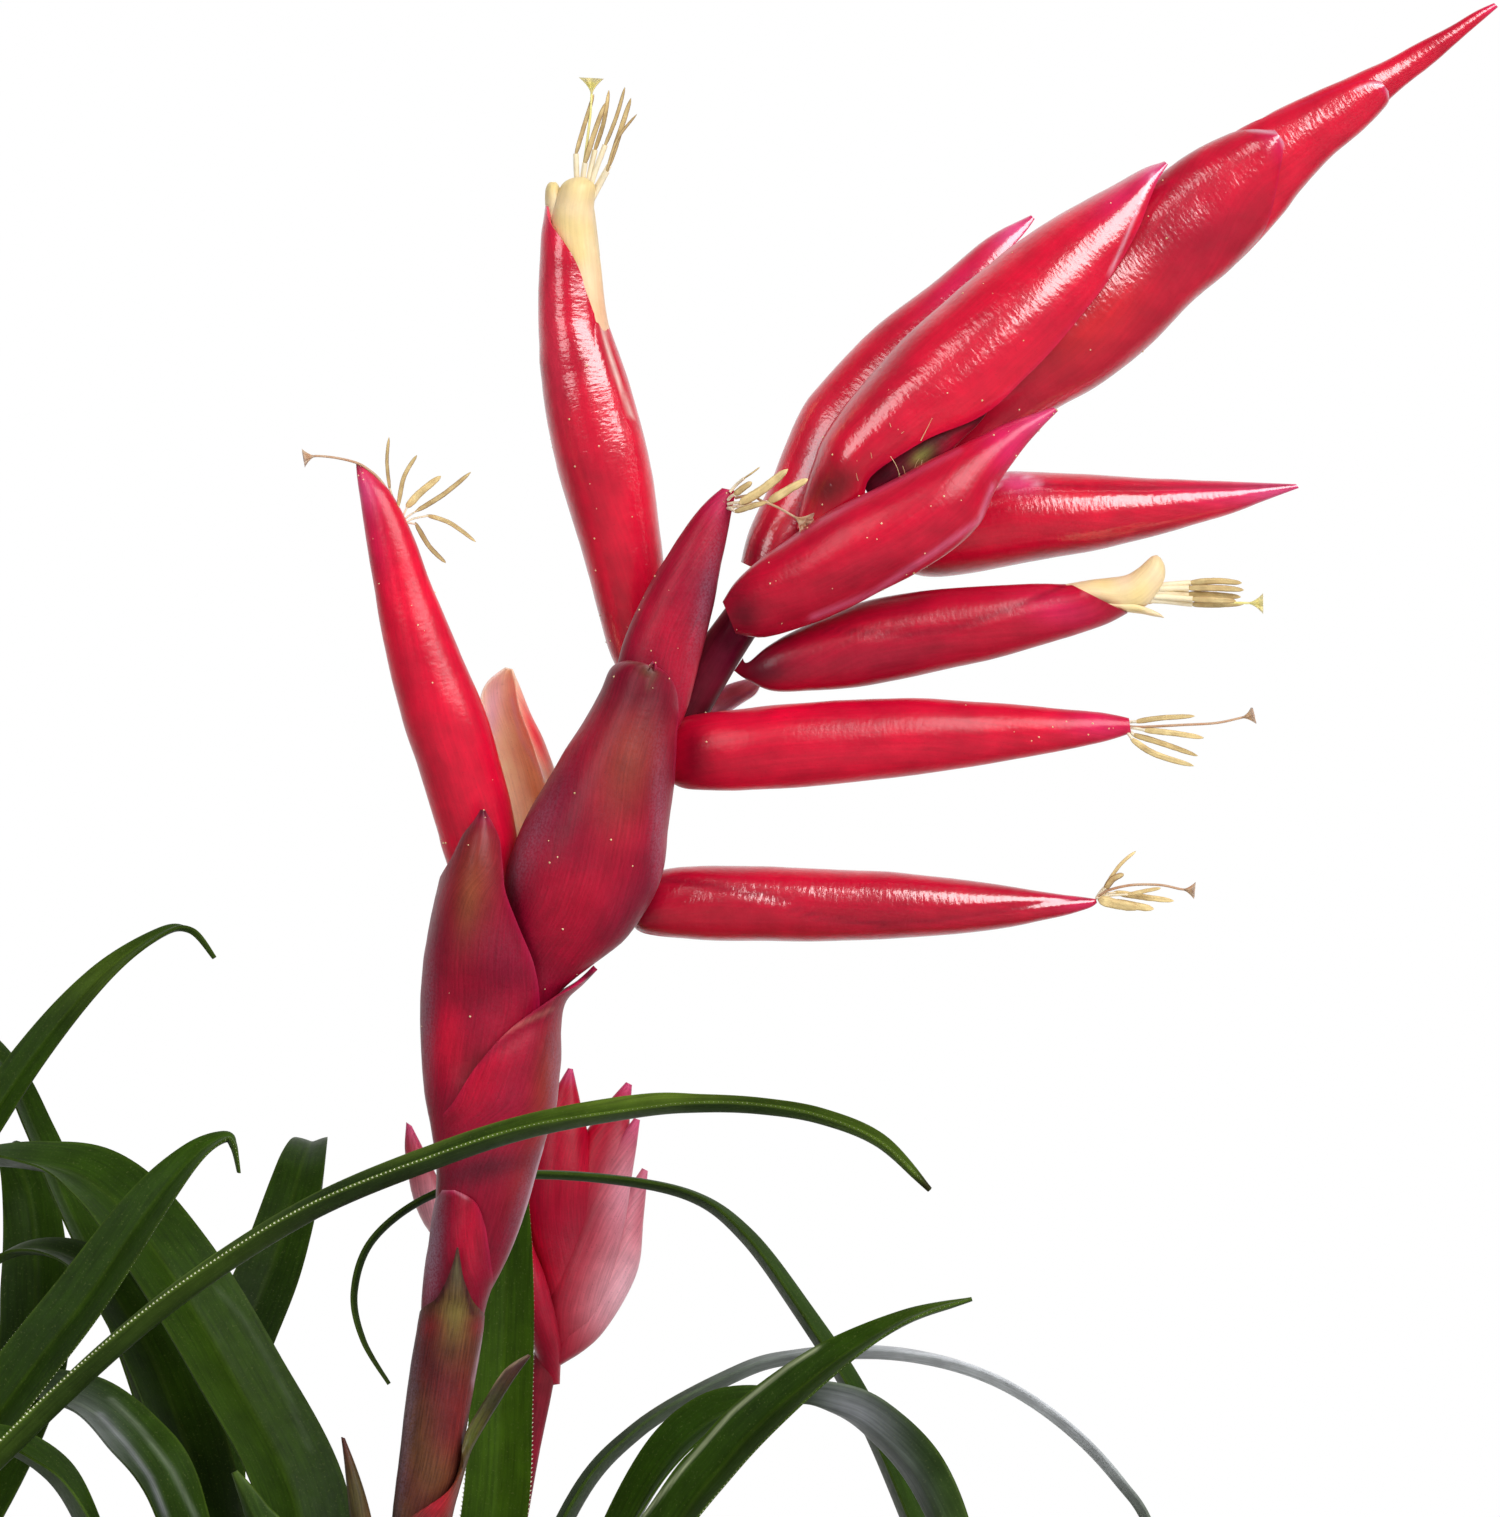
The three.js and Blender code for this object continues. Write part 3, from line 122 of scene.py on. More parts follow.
CRIMSON = srgb(196, 1, 44)
SCARLET = srgb(228, 4, 50)
DEEP_RED = srgb(128, 1, 34)
MAGENTA = srgb(214, 30, 92)
PINK = srgb(232, 84, 140)
PLUM = srgb(84, 10, 36)
WINE = srgb(112, 2, 38)
LILAC = srgb(232, 190, 208)
MAROON = srgb(66, 8, 24)
WAX = srgb(178, 150, 172)
OLIVE = srgb(134, 56, 36)
GOLD = srgb(168, 116, 60)
SALMON = srgb(255, 214, 182)
SHEATH_BROWN = srgb(90, 24, 28)
SHEATH_GREEN = srgb(112, 104, 40)
CREAM = srgb(252, 230, 190)
PALE_YELLOW = srgb(232, 206, 142)
PETAL = srgb(238, 210, 172)
FILAMENT = srgb(240, 228, 200)
STRAW = srgb(206, 176, 120)
PALE_STRAW = srgb(236, 212, 152)
STRAW_DARK = srgb(128, 90, 58)
STIGMA = srgb(176, 128, 96)
YELLOW_STIGMA = srgb(240, 226, 130)
LEAF_DARK = srgb(24, 42, 4)
LEAF_MID = srgb(46, 72, 8)
LEAF_LIGHT = srgb(104, 128, 40)
LEAF_GREY = srgb(120, 132, 110)
LEAF_FRESH = srgb(58, 80, 12)
LEAF_PALE = srgb(238, 240, 206)
# Painted sheen: the grey reflection of the bright backdrop on glossy leaves
LEAF_SHEEN = srgb(150, 152, 158)
LEAF_SHEEN_PALE = srgb(226, 229, 234)
BARK = srgb(92, 70, 50)
BARK_DARK = srgb(48, 34, 24)
SHEATH_RED = srgb(140, 20, 36)
YOUNG_PALE = srgb(246, 196, 208)
YOUNG_PINK = srgb(240, 170, 188)
FURROW = srgb(28, 46, 8)
SPECK = srgb(60, 6, 22)


# Geometry helpers
def place(px, py, near):
    """Points of the photograph in millimetres, for arrays of columns, rows and nearness."""
    mm_per_pixel = (VIEW_DISTANCE - near) / VIEW_DISTANCE / PIXELS_PER_MM
    x = EYE_X + (px - FRAME_CENTRE[0]) * mm_per_pixel
    z = EYE_Z + (FRAME_CENTRE[1] - py) * mm_per_pixel
    return np.stack(np.broadcast_arrays(x, -near, z), axis=-1)


def pixels(points):
    """The columns and rows where points in millimetres show in the photograph."""
    mm_per_pixel = (VIEW_DISTANCE + points[..., 1]) / VIEW_DISTANCE / PIXELS_PER_MM
    px = FRAME_CENTRE[0] + (points[..., 0] - EYE_X) / mm_per_pixel
    py = FRAME_CENTRE[1] - (points[..., 2] - EYE_Z) / mm_per_pixel
    return px, py


def smooth(rows, steps):
    """Rows of numbers, with `steps` rows on a smooth curve in place of each gap between two of them."""
    rows = np.array(rows, float)
    held = np.vstack([rows[:1], rows, rows[-1:]])
    out = []
    for a, b, c, d in zip(held, held[1:], held[2:], held[3:]):
        for k in range(steps):
            t = k / steps
            out.append(b + 0.5 * t * (c - a + t * (2 * a - 5 * b + 4 * c - d + t * (3 * b - a - 3 * c + d))))
    out.append(rows[-1])
    return np.array(out)


def walked(path):
    """How far along a path each of its points is."""
    return np.concatenate([[0], np.cumsum(np.linalg.norm(np.diff(path, axis=0), axis=1))])


def unit(vectors):
    return vectors / np.maximum(np.linalg.norm(vectors, axis=-1, keepdims=True), 1e-9)


def turns(sides):
    """Angles of a full turn in equal steps."""
    return np.linspace(0, 2 * np.pi, sides, endpoint=False)


def ease(value, low, high):
    """0 below low, 1 above high, and a smooth step between."""
    t = np.clip((value - low) / (high - low), 0, 1)
    return t * t * (3 - 2 * t)


def mottle(points, size, seed=0.0):
    """Smooth noise between -1 and 1 at points in millimetres, with patches about `size` across."""
    flat = points.reshape(-1, 3) / size + np.array([seed, 3.1 * seed, -seed])
    return np.array([noise.noise(Vector(p)) for p in flat]).reshape(points.shape[:-1])


def mix(colour, other, share):
    share = np.clip(np.asarray(share), 0, 1)[..., None]
    return colour * (1 - share) + other * share


def line_distance(px, py, line):
    """Distance in pixels from a polyline of the photograph, and how far along it the nearest point is,
    from 0 to 1."""
    line = np.array(line, float)
    reached = walked(line) / walked(line)[-1]
    best = np.full(px.shape, np.inf)
    along = np.zeros(px.shape)
    for i, (a, b) in enumerate(zip(line, line[1:])):
        d = b - a
        t = np.clip(((px - a[0]) * d[0] + (py - a[1]) * d[1]) / (d @ d), 0, 1)
        distance = np.hypot(px - a[0] - t * d[0], py - a[1] - t * d[1])
        nearer = distance < best
        best = np.where(nearer, distance, best)
        along = np.where(nearer, reached[i] + t * (reached[i + 1] - reached[i]), along)
    return best, along


# Blocks: points with faces, colour, a mask of wax and painted sheen, and grain. A paint takes the facts of
# the points and gives their colour and that mask.
def block(points, faces, u, v, side, grain, paint):
    """`u` is the place of a point across its piece, `v` along it, and `side` is 1 or -1 for its two faces.
    The grain is how far the point is across and along the piece."""
    px, py = pixels(points)
    skin, wax_and_sheen = paint(SimpleNamespace(points=points, px=px, py=py, u=u, v=v, side=side))
    return {"points": points, "faces": faces, "skin": skin, "wax_and_sheen": wax_and_sheen, "grain": grain}


def ring_faces(rows, columns):
    """Quads of a grid of points that closes round its columns."""
    r = np.arange(rows - 1)[:, None] * columns
    c = np.arange(columns)[None, :]
    d = (c + 1) % columns
    return np.stack([r + c, r + d, r + columns + d, r + columns + c], -1).reshape(-1, 4).tolist()


def run_lengths(grid):
    """Millimetres across and along a grid of points, from its middle column and its first row."""
    middle = grid.shape[1] // 2
    across = np.linalg.norm(np.diff(grid, axis=1), axis=2)
    across = np.concatenate([np.zeros((len(grid), 1)), np.cumsum(across, axis=1)], axis=1)
    along = np.repeat(walked(grid[:, middle])[:, None], grid.shape[1], axis=1)
    return np.stack([across - across[:, middle:middle + 1], along, np.zeros(across.shape)], axis=-1)


def sheet_block(outer, inner, u, paint):
    """A thin closed sheet between two grids of points."""
    rows, columns, _ = outer.shape
    points = np.concatenate([outer, inner[:, ::-1]], axis=1).reshape(-1, 3)
    faces = ring_faces(rows, 2 * columns)
    for start in (0, (rows - 1) * 2 * columns):
        for j in range(columns - 1):
            k = 2 * columns - 1 - j
            faces.append([start + j, start + j + 1, start + k - 1, start + k])
    us = np.tile(np.concatenate([u, u[::-1]]), rows)
    v = np.repeat(np.linspace(0, 1, rows), 2 * columns)
    side = np.tile(np.repeat([1, -1], columns), rows)
    grain = run_lengths(outer)
    grain = np.concatenate([grain, grain[:, ::-1]], axis=1).reshape(-1, 3)
    return block(points, faces, us, v, side, grain, paint)


def round_block(rings, paint):
    """A closed solid through rings of points, with a pole at each end."""
    rows, columns, _ = rings.shape
    points = np.vstack([rings.reshape(-1, 3), rings[0].mean(0), rings[-1].mean(0)])
    faces = ring_faces(rows, columns)
    last = (rows - 1) * columns
    for j in range(columns):
        k = (j + 1) % columns
        faces.append([rows * columns, k, j])
        faces.append([rows * columns + 1, last + j, last + k])
    u = np.append(np.tile(np.arange(columns) / columns, rows), [0, 0])
    v = np.append(np.repeat(np.linspace(0, 1, rows), columns), [0, 1])
    grain = run_lengths(rings)
    grain = np.vstack([grain.reshape(-1, 3), [0, 0, 0], [0, grain[-1, 0, 1], 0]])
    return block(points, faces, u, v, np.ones(len(points)), grain, paint)


def add_object(name, data):
    """A new object of the scene."""
    made = bpy.data.objects.new(name, data)
    bpy.context.scene.collection.objects.link(made)
    return made


def make_piece(name, blocks, material, slot, node):
    """One mesh from blocks, in metres, that rides on the plant and stands for the CAD node named."""
    faces = []
    start = 0
    for b in blocks:
        faces += [[start + i for i in face] for face in b["faces"]]
        start += len(b["points"])
    points, skin, wax_and_sheen, grain = (
        np.concatenate([b[key] for b in blocks]) for key in ("points", "skin", "wax_and_sheen", "grain")
    )
    mesh = bpy.data.meshes.new(name)
    mesh.from_pydata((points * MM).tolist(), [], faces)
    shape = bmesh.new()
    shape.from_mesh(mesh)
    bmesh.ops.recalc_face_normals(shape, faces=shape.faces)
    shape.to_mesh(mesh)
    shape.free()
    mesh.shade_smooth()
    mesh.set_sharp_from_angle(angle=math.radians(SHARP_ANGLE))
    colour = np.column_stack([skin, np.ones(len(skin))])
    mesh.attributes.new("skin", "FLOAT_COLOR", "POINT").data.foreach_set("color", colour.ravel())
    mesh.attributes.new("wax_and_sheen", "FLOAT", "POINT").data.foreach_set("value", wax_and_sheen)
    mesh.attributes.new("grain", "FLOAT_VECTOR", "POINT").data.foreach_set("vector", grain.ravel())
    mesh.materials.append(material)
    piece = add_object(name, mesh)
    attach(piece, "root")
    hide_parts(node)


# Rosettes: the axis of each and the radius of its core. Runners join the side ones to the main one.
CROWNS = {
    "main": {"x": 0, "y": 0, "core": 15},
    "left": {"x": -86, "y": -2, "core": 10.5},
    "right": {"x": 84, "y": 8, "core": 8},
    "back": {"x": 21, "y": 77, "core": 8},
}

# Leaves that the photograph shows. `slot` is how far the leaf's foot stands from its rosette's axis,
# `foot` the compass direction of the foot, `heading` that of the blade. A path row holds px, py,
# near, width and roll.
LEAVES = {
    "leaf_front_arch": {
        "crown": "left", "slot": 6.2, "foot": -58, "heading": -14,
        "path": [
            [-390, 1950, 12, 8.6, 10], [-150, 1605, 18, 8.0, 10], [0, 1456, 21, 7.4, 10],
            [100, 1360, 22.5, 7.1, 10], [200, 1280, 24, 6.9, 11], [315, 1209, 25.5, 6.7, 11],
            [440, 1158, 27, 6.4, 13], [535, 1128, 28, 6, 13], [640, 1109, 29, 5.2, 16],
            [700, 1105, 29.5, 4.4, 8], [760, 1107, 30, 3.9, 6], [820, 1117, 30, 3.5, 6],
            [880, 1142, 30, 2.8, 6], [930, 1190, 30, 0.9, 0],
        ],
    },
    "leaf_behind_left": {
        "crown": "back", "slot": 5.4, "foot": 196, "heading": 186,
        "path": [
            [458, 2040, -84, 7.4, 0], [396, 1660, -88, 7, 0], [346, 1505, -91, 6.6, 0],
            [300, 1432, -94, 5.8, 0], [240, 1392, -97, 4.4, 0], [172, 1400, -100, 2.6, 0],
            [120, 1444, -102, 0.9, 0],
        ],
    },
    "leaf_left_hook": {
        "crown": "left", "slot": 6.2, "foot": 8, "heading": 8,
        "path": [
            [-372, 1960, 0, 9.4, 0], [-160, 1638, 2, 8.8, 26], [0, 1409, 3, 8, 44], [84, 1299, 3, 7.6, 46],
            [150, 1206, 2, 6, 44], [194, 1156, 1, 4, 34], [224, 1138, 0, 2.4, 20], [234, 1146, 0, 1.6, 10],
            [239, 1172, -1, 0.8, 0],
        ],
    },
    "leaf_left_tall": {
        "crown": "left", "slot": 6.2, "foot": 132, "heading": 40,
        "path": [
            [-480, 1860, -22, 9, 0], [-230, 1430, -34, 7.6, 14], [-60, 1194, -41, 5.8, 20],
            [30, 1060, -43, 4.6, 24], [100, 978, -45, 3.4, 20], [160, 934, -47, 2, 10],
            [190, 930, -48, 1.4, 5], [214, 958, -49, 0.8, 0],
        ],
    },
    "leaf_left_back": {
        "crown": "left", "slot": 6.2, "foot": 70, "heading": 52,
        "path": [
            [-330, 1930, -30, 9.2, 0], [-90, 1610, -44, 9, 20], [22, 1400, -54, 8.6, 30],
            [36, 1280, -58, 8, 30], [28, 1190, -62, 6, 30], [5, 1150, -66, 3, 20], [-30, 1165, -70, 0.9, 0],
        ],
    },
    "leaf_broad_arch": {
        "crown": "main", "slot": 6.6, "foot": 142, "heading": 136,
        "path": [
            [262, 2000, -5, 11, 0], [303, 1640, -9, 12, -8], [297, 1500, -12, 11.6, -12],
            [232, 1370, -17, 11.2, -16], [166, 1262, -21, 10.8, -18], [106, 1190, -25, 10.2, -14],
            [42, 1162, -27, 9, -8], [-60, 1164, -28, 7, 0], [-170, 1226, -28, 4.4, 0],
            [-260, 1334, -28, 0.9, 0],
        ],
    },
    "leaf_upper_left": {
        "crown": "main", "slot": 11.5, "foot": 122, "heading": 146,
        "path": [
            [226, 2000, -21, 9, 0], [212, 1640, -32, 9, 0], [162, 1440, -37, 7.6, 0],
            [112, 1300, -41, 6.6, 0], [66, 1200, -46, 5.8, 0], [36, 1130, -50, 5.2, 0],
            [4, 1066, -54, 4.4, 0], [-50, 1020, -60, 3.4, 0], [-120, 1040, -66, 0.9, 0],
        ],
    },
    "leaf_shaded_arch": {
        "crown": "main", "slot": 11.5, "foot": 164, "heading": 160,
        "path": [
            [176, 2060, -7, 9, 0], [212, 1660, -13, 9.6, -8], [206, 1520, -20, 9.6, -20],
            [172, 1400, -27, 9.2, -30], [128, 1312, -30, 8, -30], [84, 1262, -33, 6.4, -20],
            [20, 1250, -36, 4, -10], [-50, 1290, -40, 0.9, 0],
        ],
    },
    "leaf_back_broad": {
        "crown": "main", "slot": 11.5, "foot": 88, "heading": 96,
        "path": [
            [282, 2040, -30, 9, 0], [218, 1640, -48, 9.2, 0], [210, 1430, -58, 8.4, 0],
            [236, 1350, -61, 8, 0], [270, 1270, -65, 7.4, 0], [295, 1190, -71, 6.2, 0],
            [304, 1158, -75, 5.2, 0], [311, 1142, -80, 4.0, 0], [316, 1150, -86, 2.6, 0],
            [319, 1190, -92, 0.8, 0],
        ],
    },
    "leaf_upright": {
        "crown": "main", "slot": 6.6, "foot": 58, "heading": 92,
        "path": [
            [386, 2080, -10, 8, 0], [462, 1700, -12, 8, 0], [494, 1517, -13, 7.4, 0],
            [501, 1400, -13.5, 7, 0], [505, 1290, -14, 6.4, 0], [508, 1190, -14, 4.4, 0],
            [512, 1110, -14, 0.9, 0],
        ],
    },
    "leaf_right_blade": {
        "crown": "main", "slot": 11.5, "foot": -36, "heading": -12,
        "path": [
            [424, 2060, 14, 9, 0], [562, 1688, 17, 9.6, 14], [680, 1516, 18, 8.8, 40],
            [716, 1470, 18.5, 8.4, 43], [760, 1421, 19, 7.6, 45], [832, 1362, 20, 5.8, 40],
            [906, 1319, 20, 3, 26], [972, 1299, 20, 0.8, 10],
        ],
    },
    "leaf_right_twist": {
        "crown": "main", "slot": 11.5, "foot": 4, "heading": 4,
        "path": [
            [448, 2080, -2, 9, 0], [556, 1690, 2, 9, 0], [640, 1500, 4, 8.4, 18], [708, 1420, 5, 7.6, 24],
            [790, 1397, 6, 7, -8], [834, 1404, 6.5, 6.8, -30], [874, 1424, 7, 6.6, -40],
            [922, 1474, 8, 6.2, -46], [958, 1556, 9, 4.6, -46], [982, 1656, 9, 0.9, -46],
        ],
    },
    "leaf_right_arch": {
        "crown": "main", "slot": 11.5, "foot": 42, "heading": 5,
        "path": [
            [410, 2080, -18, 7.8, 0], [486, 1720, -21, 7, 0], [567, 1518, -22, 6.4, 0],
            [638, 1432, -22, 5.8, 0], [740, 1373, -22, 5.2, 0], [800, 1357, -22, 5, 0],
            [870, 1353, -22, 4.8, 0], [930, 1360, -22, 4.7, 0], [985, 1376, -22, 4.5, 0],
            [1034, 1402, -22, 4.3, 0], [1082, 1440, -22, 4, 0], [1120, 1482, -22, 3.6, 0],
            [1148, 1524, -22, 3, 0], [1180, 1620, -22, 0.9, 0],
        ],
    },
    "leaf_far_right": {
        "crown": "right", "slot": 3.2, "foot": 200, "heading": 178,
        "path": [
            [1080, 2040, -5, 8, 0], [985, 1720, -3, 7.8, -4], [908, 1516, -3, 7.4, -10],
            [856, 1400, -4, 6.8, -10], [800, 1310, -6, 6, -8], [745, 1236, -9, 5, -6],
            [690, 1196, -11, 3.8, 0], [600, 1178, -12, 2.8, 0], [500, 1176, -11, 2.4, 0],
            [425, 1198, -10, 2.1, 0], [372, 1240, -10, 1.8, 0], [354, 1292, -10, 1.5, 0],
            [363, 1340, -10, 1.2, 0], [389, 1384, -10, 0.8, 0],
        ],
    },
    "leaf_low_streaked": {
        "crown": "main", "slot": 11.5, "foot": 200, "heading": 190,
        "path": [
            [180, 2060, 4, 9, 0], [198, 1660, 5, 11, -16], [170, 1510, 3, 11, -34], [128, 1440, 0, 10.4, -36],
            [72, 1398, -4, 9, -24], [-20, 1392, -9, 6.6, -10], [-120, 1450, -13, 3.6, 0],
            [-190, 1530, -15, 0.9, 0],
        ],
    },
    "leaf_low_corner": {
        "crown": "main", "slot": 11.5, "foot": 234, "heading": 202,
        "path": [
            [204, 2080, 14, 9, 0], [142, 1690, 16, 10, -8], [88, 1530, 14, 9.4, -20],
            [40, 1462, 12, 8.4, -24], [-30, 1440, 10, 6.4, -10], [-120, 1480, 9, 3.4, 0],
            [-190, 1560, 8, 0.9, 0],
        ],
    },
    "leaf_small_tip": {
        "crown": "main", "slot": 11.5, "foot": 272, "heading": 225,
        "path": [
            [300, 2100, 15, 8, 0], [300, 1760, 19, 7, 10], [278, 1570, 21, 5.4, 20], [254, 1510, 21, 3, 20],
            [234, 1472, 21, 0.8, 20],
        ],
    },
}
FRONT_LEAF = "leaf_front_arch"
TOOTHED = ("leaf_front_arch", "leaf_right_blade", "leaf_left_hook", "leaf_upright")

# The section of the ring in which the sheaths of a rosette join: offsets from the core's radius, and
# heights. And a runner: shares of its way with its bow and its radius there.
SHEATH_SECTION = ((-1.2, 0), (1.2, 0), (1.5, 1.6), (1.9, 3.4), (2.0, 5), (-0.6, 5), (-0.9, 2.5))
RUNNER_STOPS = ((0, 0, 4.6), (1 / 3, 4, 3.6), (2 / 3, 4, 3.9), (1, 0, 4.6))

# The draws move a low leaf's direction, rise and droop by up to half of these spreads in degrees, either
# way, and shorten or lengthen it to a share between the two
DIRECTION_SPREAD = 44
RISE_SPREAD = 26
DROOP_SPREAD = 20
LENGTH_SHARES = (0.8, 1.04)

# The low outer leaves of each rosette: how many, the seed of their draws, the direction of the first, and
# the ranges of length, width, and rise at the foot and droop at the tip, from the youngest to the oldest
LOW_LEAVES = {
    "main": {
        "count": 9, "seed": 18, "turn": 250,
        "length": [118, 146], "rise": [64, 48], "droop": [-34, -22], "width": [9.6, 10.6],
    },
    "left": {
        "count": 9, "seed": 286, "turn": 170,
        "length": [100, 136], "rise": [72, 46], "droop": [-38, -22], "width": [8.6, 9.6],
    },
    "right": {
        "count": 10, "seed": 43, "turn": 20,
        "length": [84, 110], "rise": [74, 46], "droop": [-40, -22], "width": [7.6, 8.6],
    },
    "back": {
        "count": 9, "seed": 566, "turn": 60,
        "length": [84, 114], "rise": [74, 46], "droop": [-40, -22], "width": [7.6, 8.6],
    },
}

# The flower stalk, from its foot to its end inside the tip bracts: px, py, near, radius
STALK = [
    [300, 2543, 0, 2.9], [330, 2200, 0, 2.6], [366, 1850, 0, 2.3], [388, 1700, 0, 1.8], [404, 1590, 0, 1.4],
    [416, 1517, 0, 1.4], [430, 1459, 0, 1.7], [446, 1375, 0, 2.0], [452, 1320, 0, 1.7], [462, 1265, 0, 1.6],
    [484, 1205, 0, 1.8], [492, 1150, -0.6, 2.0], [500, 1080, -1.2, 2.0], [518, 1000, -2.2, 1.9],
    [556, 930, -3, 1.8], [600, 860, -3.8, 1.8], [636, 800, -4, 2.0], [664, 752, -3.6, 2.1],
    [692, 700, -3.0, 2.2], [718, 655, -2.4, 2.2], [750, 608, -2.2, 2.0], [790, 548, -2.6, 1.8],
    [830, 500, -3.0, 1.6], [880, 440, -3.0, 1.3], [930, 385, -3.0, 0.9],
]

